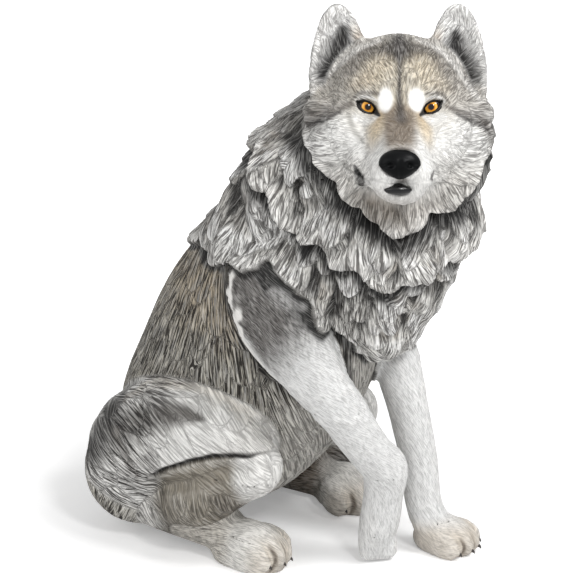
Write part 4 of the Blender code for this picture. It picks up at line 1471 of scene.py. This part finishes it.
@dataclass
class Eye:
    """A glass eye with its iris, and the black rim of the lids round it."""

    side: Side
    pose: Pose
    spacing: float = 30.4
    radius: float = 6.2
    half_length: float = 5.9
    half_height: float = 2.9
    slant: float = 30.0
    rim: float = 1.0
    converge: float = 4.0
    iris_reach: float = 5.0

    @property
    def name(self) -> str:
        """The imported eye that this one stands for."""
        return f"eye_{self.side.name.lower()}"

    @property
    def centre(self) -> Array:
        """Middle of the glass ball in head space."""
        return np.array([self.side.value * self.spacing / 2, self.pose.eye_set_back, 0.0])

    def between_lids(self, head: Array) -> Array:
        """Below 1 inside the almond: |v| / b + (u / a)^2, with u along the slant and v across."""
        x, _, z = (head - self.centre).T
        u, v = tilted(x, z, self.slant * self.side.value)
        return np.abs(v) / self.half_height + (u / self.half_length) ** 2

    def build(self) -> None:
        """Makes the eyeball and the lid rim."""
        self.ball()
        self.lids()

    def ball(self) -> None:
        """A sphere of rings about the gaze: a point at angle a from it lies r sin(a) off the axis."""
        around, faces = round_grid(47, 64)
        around = around[:, [0, 2, 1]] * np.array([1.0, -1.0, 1.0])
        angle = -self.side.value * math.radians(self.converge)
        turned = around @ np.array(Matrix.Rotation(angle, 3, "Z")).T
        points = self.pose.to_frame(self.pose.from_head(turned * self.radius + self.centre))
        obj = new_piece(f"{self.name}_glass", points, faces, self.glass())
        layer = obj.data.attributes.new("gaze", "FLOAT_VECTOR", "POINT")
        flat = around * self.radius
        flat[:, 1] = np.where(around[:, 1] < 0, 0.0, 9.0)
        layer.data.foreach_set("vector", flat.astype(np.float32).ravel())
        seat(obj, self.name)

    def glass(self) -> bpy.types.Material:
        """Amber iris with a dark rim and a black pupil, by distance from the gaze, under a clear coat."""
        material, shader, work = principled(
            f"{self.name} glass", Roughness=0.5, Specular_IOR_Level=0.0, Coat_Weight=0.75, Coat_Roughness=0.03
        )
        share = work.maths("DIVIDE", work.length(work.layer("gaze").outputs["Vector"]), self.iris_reach)
        ramp = work.node("ValToRGB")
        stops = ((0.0, (4, 4, 4)), (0.25, (4, 4, 4)), (0.29, (140, 78, 16)), (0.37, (232, 158, 46)),
                 (0.53, (250, 188, 82)), (0.59, (150, 88, 22)), (0.64, (20, 14, 11)), (1.0, (10, 8, 8)))
        while len(ramp.color_ramp.elements) < len(stops):
            ramp.color_ramp.elements.new(0.5)
        for element, (spot, colour) in zip(ramp.color_ramp.elements, stops):
            element.position = spot
            element.color = (*tone(*colour), 1.0)
        work.join(share, ramp.inputs["Fac"])
        work.join(ramp.outputs["Color"], shader.inputs["Base Color"])
        return material

    def lids(self) -> None:
        """A closed roll along the almond: its axis lies on a ball just larger than the eye.

        The almond is v = b (1 - (u / a)^2), above and below; the roll is thickest at the corners.
        """
        t = np.linspace(0, 2 * math.pi, 72, endpoint=False)
        u = self.half_length * np.cos(t)
        v = self.half_height * (1 - np.cos(t) ** 2) * np.sign(np.sin(t))
        x, z = tilted(u, v, -self.slant * self.side.value)
        reach = self.radius + 0.25
        y = -np.sqrt(reach**2 - x**2 - z**2)
        axis = np.stack([x, y, z], 1) + self.centre
        along = unit(np.roll(axis, -1, 0) - np.roll(axis, 1, 0))
        out = unit(axis - self.centre)
        across = unit(np.cross(along, out))
        thick = self.rim * (1 + 0.35 * np.abs(np.cos(t)) ** 4)
        turn = np.linspace(0, 2 * math.pi, 12, endpoint=False)
        ring = (
            axis[:, None]
            + np.cos(turn)[None, :, None] * (out * thick[:, None] * 0.8)[:, None]
            + np.sin(turn)[None, :, None] * (across * thick[:, None])[:, None]
        )
        grid = np.arange(ring.shape[0] * ring.shape[1]).reshape(ring.shape[:2])
        right, down = np.roll(grid, -1, 1), np.roll(grid, -1, 0)
        both = np.roll(right, -1, 0)
        faces = np.stack([grid, down, both, right], -1).reshape(-1, 4)
        finish = Gloss(f"{self.name} lid", (16, 14, 13), 0.4, specular=0.25).material()
        points = self.pose.to_frame(self.pose.from_head(ring.reshape(-1, 3)))
        add_trim(f"{self.name}_lids", points, faces, finish)


def round_grid(rows: int, columns: int) -> tuple[Array, list]:
    """Directions of a unit sphere about the Z axis, and the faces of its closed grid."""
    polar, turn = np.meshgrid(
        np.linspace(0, math.pi, rows + 2)[1:-1], np.linspace(0, 2 * math.pi, columns, False), indexing="ij"
    )
    ring = np.stack([np.sin(polar) * np.cos(turn), np.sin(polar) * np.sin(turn), np.cos(polar)], -1)
    around = np.vstack([ring.reshape(-1, 3), [[0, 0, 1]], [[0, 0, -1]]])
    grid = np.arange(rows * columns).reshape(rows, columns)
    after = np.roll(grid, -1, 1)
    sides = np.stack([grid[:-1], grid[1:], after[1:], after[:-1]], -1).reshape(-1, 4)
    top = np.stack([np.full(columns, len(around) - 2), grid[0], after[0]], 1)
    low = np.stack([np.full(columns, len(around) - 1), after[-1], grid[-1]], 1)
    return around, sides.tolist() + top.tolist() + low.tolist()


@dataclass
class Muzzle:
    """The black nose leather and the parted lips under it."""

    pose: Pose
    nose: tuple = (-1.2, -36.2, -27.9)
    nose_size: tuple = (9.7, 5.3, 7.3)
    lips: tuple = (-1.8, -29.5, -39.8)
    lips_size: tuple = (6.4, 3.2, 3.0)

    def build(self) -> None:
        """Makes both pieces."""
        self.leather()
        self.mouth()

    def leather(self) -> None:
        """A rounded block that narrows downwards, with a nostril each side and a cleft.

        On a unit sphere the width is scaled by 1 - 0.52 w^1.3, with w the way below the
        middle, and the top is lowered; the nostrils are soft dents at its lower sides.
        """
        around, faces = round_grid(64, 96)
        shape = around.copy()
        low = np.clip(-around[:, 2] - 0.1, 0, 1)
        shape[:, 0] = np.sign(around[:, 0]) * np.abs(around[:, 0]) ** 0.85 * (1 - 0.52 * low**1.3)
        shape[:, 2] = np.where(around[:, 2] > 0, around[:, 2] * 0.88, around[:, 2])
        points = shape * np.array(self.nose_size) + np.array(self.nose)
        for side in (-1, 1):
            dent = ball(points, (self.nose[0] + side * 4.6, -44.0, -29.0), (3.0, 6.0, 2.5))
            points[:, 1] += 3.4 * dent
            comma = ball(points, (self.nose[0] + side * 7.8, -41.5, -29.6), (3.2, 4.5, 1.5))
            points[:, 1] += 1.6 * comma
        cleft = np.exp(-(((points[:, 0] - self.nose[0]) / 0.55) ** 2)) * smooth_step(points[:, 2], -25, -29)
        points[:, 1] += 0.7 * cleft * (around[:, 1] < 0)
        finish = Gloss("nose leather", (8, 9, 10), 0.34, specular=0.09).material()
        self.place("nose_leather", points, faces, finish)

    def mouth(self) -> None:
        """A dark glossy lens, peaked at the middle above and nearly flat below."""
        around, faces = round_grid(32, 64)
        shape = around.copy()
        arch = 1 - np.abs(around[:, 0]) ** 1.4
        shape[:, 2] = around[:, 2] * np.where(around[:, 2] > 0, 0.55 + 0.55 * arch, 0.75)
        points = shape * np.array(self.lips_size) + np.array(self.lips)
        finish = Gloss("mouth", (10, 9, 10), 0.25, coat=0.15, specular=0.3).material()
        self.place("mouth", points, faces, finish)

    def place(self, name: str, points: Array, faces: list, finish: bpy.types.Material) -> None:
        """Makes one piece of the muzzle from points in head space."""
        add_trim(name, self.pose.to_frame(self.pose.from_head(points)), faces, finish)


@dataclass
class Claws:
    """The dark claws of one paw: short horns that curve down from the tips of the four toes."""

    paw: Paw
    pose: Pose
    length: float = 2.7
    radius: float = 1.0
    curl: float = math.radians(80)

    def roots(self) -> tuple[Array, Array]:
        """Where the claws start, and which way the paw points on the ground."""
        along, _, reach = self.paw.axes()
        roots = self.paw.toe_middles() + along * (reach * self.paw.toe_share * 0.84)
        return roots, unit(along * [1.0, 1.0, 0.0])

    def build(self) -> None:
        """Each claw is a round cone carried along an arc, thinning as 1 - s^1.6, all in one mesh."""
        roots, ahead = self.roots()
        round_horn = np.linspace(0, 2 * math.pi, 14, False)
        share, turn = np.meshgrid(np.linspace(0, 1, 12), round_horn, indexing="ij")
        side = np.array([ahead[1], -ahead[0], 0.0])
        up = np.array([0.0, 0.0, 1.0])
        bend = share * self.curl
        run = self.length / self.curl
        forward, down = np.sin(bend) * run, (1 - np.cos(bend)) * run
        thick = self.radius * (1 - share**1.6) + 0.05
        out = np.cos(bend)[..., None] * up + np.sin(bend)[..., None] * ahead
        tube = (
            forward[..., None] * ahead - down[..., None] * up
            + (np.cos(turn) * thick)[..., None] * out
            + (np.sin(turn) * thick * 0.8)[..., None] * side
        )
        rows, columns = share.shape
        grid = np.arange(rows * columns).reshape(rows, columns)
        after = np.roll(grid, -1, 1)
        one = np.stack([grid[:-1], after[:-1], after[1:], grid[1:]], -1).reshape(-1, 4).tolist()
        one += [grid[0].tolist(), grid[-1][::-1].tolist()]
        points = np.vstack([tube.reshape(-1, 3) + root for root in roots])
        points[:, 2] = np.maximum(points[:, 2], 0.1)
        starts = [rows * columns * number for number in range(len(roots))]
        faces = [[spot + start for spot in face] for start in starts for face in one]
        finish = Gloss(f"{self.paw.name} horn", (44, 38, 34), 0.35, coat=0.1).material()
        add_trim(f"claws_{self.paw.name}", self.pose.to_frame(points), faces, finish)


@dataclass
class Sculptor:
    """Carves the skin: eye hollows, locks, collars and strokes, and measures the hollows."""

    anatomy: Anatomy
    eyes: tuple
    recesses: tuple = (
        ((-1.1, -43.0, -28.0), (11.2, 13.0, 8.2), 7.5),
        ((-1.8, -31.0, -39.8), (6.6, 6.0, 2.8), 3.2),
    )
    mane_inset: float = 2.2
    crease_depth: float = 2.4
    cleft_depth: float = 0.9
    socket_depth: float = 2.2
    lip_height: float = 1.5

    def carve(self) -> tuple[Array, Array, Array, LockField]:
        """Works out the carved skin.

        Returns:
            The new points, the groove map, the hollow map in millimetres and the locks.
        """
        a = self.anatomy
        skin = a.skin
        locks = LockField(a)
        log.info("locks stamped")
        strokes = StrokeField(a)
        log.info("strokes cut")
        coarse = skin.relax(locks.height + locks.collars(), 1, 0.3)
        clear = 1 - smooth_step(a.points[:, 2], 3.0, 0.8)
        relief = (coarse - self.mane_inset * a.mane + self.shoulder_ledge()) * clear
        relief -= strokes.groove * strokes.depth * clear
        relief -= (self.crease_depth * a.crease_line + self.toe_clefts()) * clear
        points = a.points + a.normals * relief[:, None]
        inwards = a.pose.turn()[:, 1]
        for eye in self.eyes:
            inside = 1 - smooth_step(eye.between_lids(a.head), 0.95, 1.1)
            near = np.linalg.norm(a.head - eye.centre, axis=1) < eye.radius + 4
            near &= a.head[:, 1] < eye.centre[1]
            points += (inside * near * self.socket_depth)[:, None] * inwards
        for centre, radii, depth in self.recesses:
            points += (np.sqrt(ball(a.head, centre, radii)) * depth)[:, None] * inwards
        points[:, 2] = np.maximum(points[:, 2], 0.0)
        flat = a.points[:, 2] < 0.35
        points[flat, 2] = 0.0
        hollow = self.hollows(points)
        return points, strokes.groove, hollow, locks

    def toe_clefts(self) -> Array:
        """Depth of the clefts between the toes of all paws, in millimetres."""
        return self.cleft_depth * np.max([paw.clefts(self.anatomy.points) for paw in PAWS], axis=0)

    def shoulder_ledge(self) -> Array:
        """A ragged lip where each shoulder lies over the flank: it rises to the rim, then drops."""
        a = self.anatomy
        ragged = 0.06 * value_noise(a.points, 5.0, 51) + 0.04 * value_noise(a.points, 2.2, 52)
        height = np.zeros(len(a.points))
        for name in ("right_leg", "left_leg"):
            mask, _, reach = a.limbs[name]
            reach = reach + ragged
            lip = smooth_step(reach, 0.72, 1.0) * smooth_step(reach, 1.12, 1.05)
            height += self.lip_height * lip * smooth_step(a.points[:, 2], 74, 92) * (1 - a.mane)
        return height

    def hollows(self, points: Array) -> Array:
        """How far each point lies below the smoothed skin around it, in millimetres."""
        a = self.anatomy
        smooth = a.skin.relax(points, 14, 0.6)
        broad = a.skin.relax(smooth, 40, 0.9)
        near = ((smooth - points) * a.normals).sum(1)
        far = ((broad - smooth) * a.normals).sum(1)
        return near + 0.8 * far


@dataclass
class Studio:
    """Pale floor, soft lamps and the camera."""

    pose: Pose
    target: tuple = (3.1, 17.1, 133.2)
    azimuth: float = math.radians(-60.0)
    elevation: float = math.radians(20.0)
    distance: float = 1500.0
    half_view: float = 143.25

    def axes(self) -> tuple[Array, Array, Array]:
        """Unit vectors to the camera, to its right and upwards in the picture."""
        ca, sa = math.cos(self.azimuth), math.sin(self.azimuth)
        ce, se = math.cos(self.elevation), math.sin(self.elevation)
        back = np.array([sa * ce, -ca * ce, se])
        right = np.array([ca, sa, 0.0])
        return back, right, np.cross(back, right)

    def camera(self) -> None:
        """A long lens at the photo's angle; half_view is half the picture's width at the target."""
        back, right, up = self.axes()
        data = bpy.data.cameras.new("camera")
        data.sensor_width = data.sensor_height = 36.0
        data.sensor_fit = "HORIZONTAL"
        data.lens = 18.0 / (self.half_view / self.distance)
        data.clip_start, data.clip_end = 0.05, 20.0
        obj = bpy.data.objects.new("camera", data)
        bpy.context.scene.collection.objects.link(obj)
        place = Matrix(np.column_stack([right, up, back]).tolist()).to_4x4()
        spot = self.pose.to_frame(np.array(self.target) + back * self.distance)
        obj.matrix_world = Matrix.Translation(Vector(spot)) @ place
        bpy.context.scene.camera = obj

    def lamp(self, name: str, spot: tuple, size: float, watts: float) -> None:
        """A square soft lamp at right, up and back shares of a metre from the target, facing it."""
        back, right, up = self.axes()
        target = self.pose.to_frame(np.array(self.target))
        place = target + right * spot[0] + up * spot[1] + back * spot[2]
        data = bpy.data.lights.new(name, "AREA")
        data.shape = "SQUARE"
        data.size = size
        data.energy = watts
        obj = bpy.data.objects.new(name, data)
        bpy.context.scene.collection.objects.link(obj)
        obj.location = place
        obj.rotation_mode = "QUATERNION"
        obj.rotation_quaternion = Vector(target - place).to_track_quat("-Z", "Y")

    @staticmethod
    def floor_finish() -> bpy.types.Material:
        """Pale matte floor that keeps the shadow close by and runs out to plain white further off."""
        material, shader, work = principled(
            "floor", Base_Color=(0.9, 0.9, 0.9, 1.0), Roughness=0.9, Specular_IOR_Level=0.1,
            Emission_Color=(1.0, 1.0, 1.0, 1.0),
        )
        reach = work.length(work.node("TexCoord").outputs["Object"])
        glow = work.ranged(reach, 0.08, 0.5, 0.25, 1.0)
        seen = work.maths("MULTIPLY", work.node("LightPath").outputs["Is Camera Ray"], glow)
        work.join(seen, shader.inputs["Emission Strength"])
        return material

    def build(self) -> None:
        """Sets the floor, world, lamps and camera."""
        bpy.context.scene.view_settings.view_transform = "Standard"
        bpy.ops.mesh.primitive_plane_add(size=8.0)
        floor = bpy.context.object
        floor.name = "floor"
        floor.data.materials.append(self.floor_finish())
        floor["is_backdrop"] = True
        world = bpy.data.worlds.new("studio")
        bpy.context.scene.world = world
        world.use_nodes = True
        work = NodeWork(world.node_tree)
        glow = world.node_tree.nodes["Background"]
        glow.inputs["Color"].default_value = (1.0, 1.0, 1.0, 1.0)
        path = work.node("LightPath")
        seen = work.maths("MAXIMUM", path.outputs["Is Camera Ray"], path.outputs["Is Glossy Ray"])
        work.join(work.ranged(seen, 0.0, 1.0, 0.40, 1.0), glow.inputs["Strength"])
        self.lamp("key", (0.6, 0.8, 0.7), 0.4, 8.2)
        self.lamp("fill", (-0.9, 0.3, 0.8), 0.9, 3.6)
        self.lamp("front", (0.42, 0.52, 1.2), 0.20, 5.6)
        self.camera()


def corners() -> list:
    """The shown object's lowest and highest corner as plain lists."""
    return [[float(value) for value in corner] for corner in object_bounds()]


def main() -> None:
    """Builds the wolf, its stage and its camera, in that order."""
    logging.basicConfig(level=logging.INFO, format="%(message)s")
    packed = corners()
    pose = Pose()
    eyes = (Eye(Side.RIGHT, pose), Eye(Side.LEFT, pose))
    cast = CastSkin(pose)
    log.info("skin: %d points, %d quads", len(cast.skin.points), len(cast.skin.quads))
    anatomy = Anatomy(cast.skin, pose)
    log.info("parts of the body found")
    points, groove, hollow, locks = Sculptor(anatomy, eyes).carve()
    log.info("skin carved")
    paint = Paint(anatomy, groove, hollow, locks)
    log.info("skin painted")
    points = np.clip(points, *(np.array(packed) / MM + pose.shift()))
    PaintedCasting(cast.skin, points, paint, locks.fur, pose).build()
    for eye in eyes:
        eye.build()
    Muzzle(pose).build()
    for paw in PAWS:
        Claws(paw, pose).build()
    Studio(pose).build()


if __name__ == "__main__":
    main()
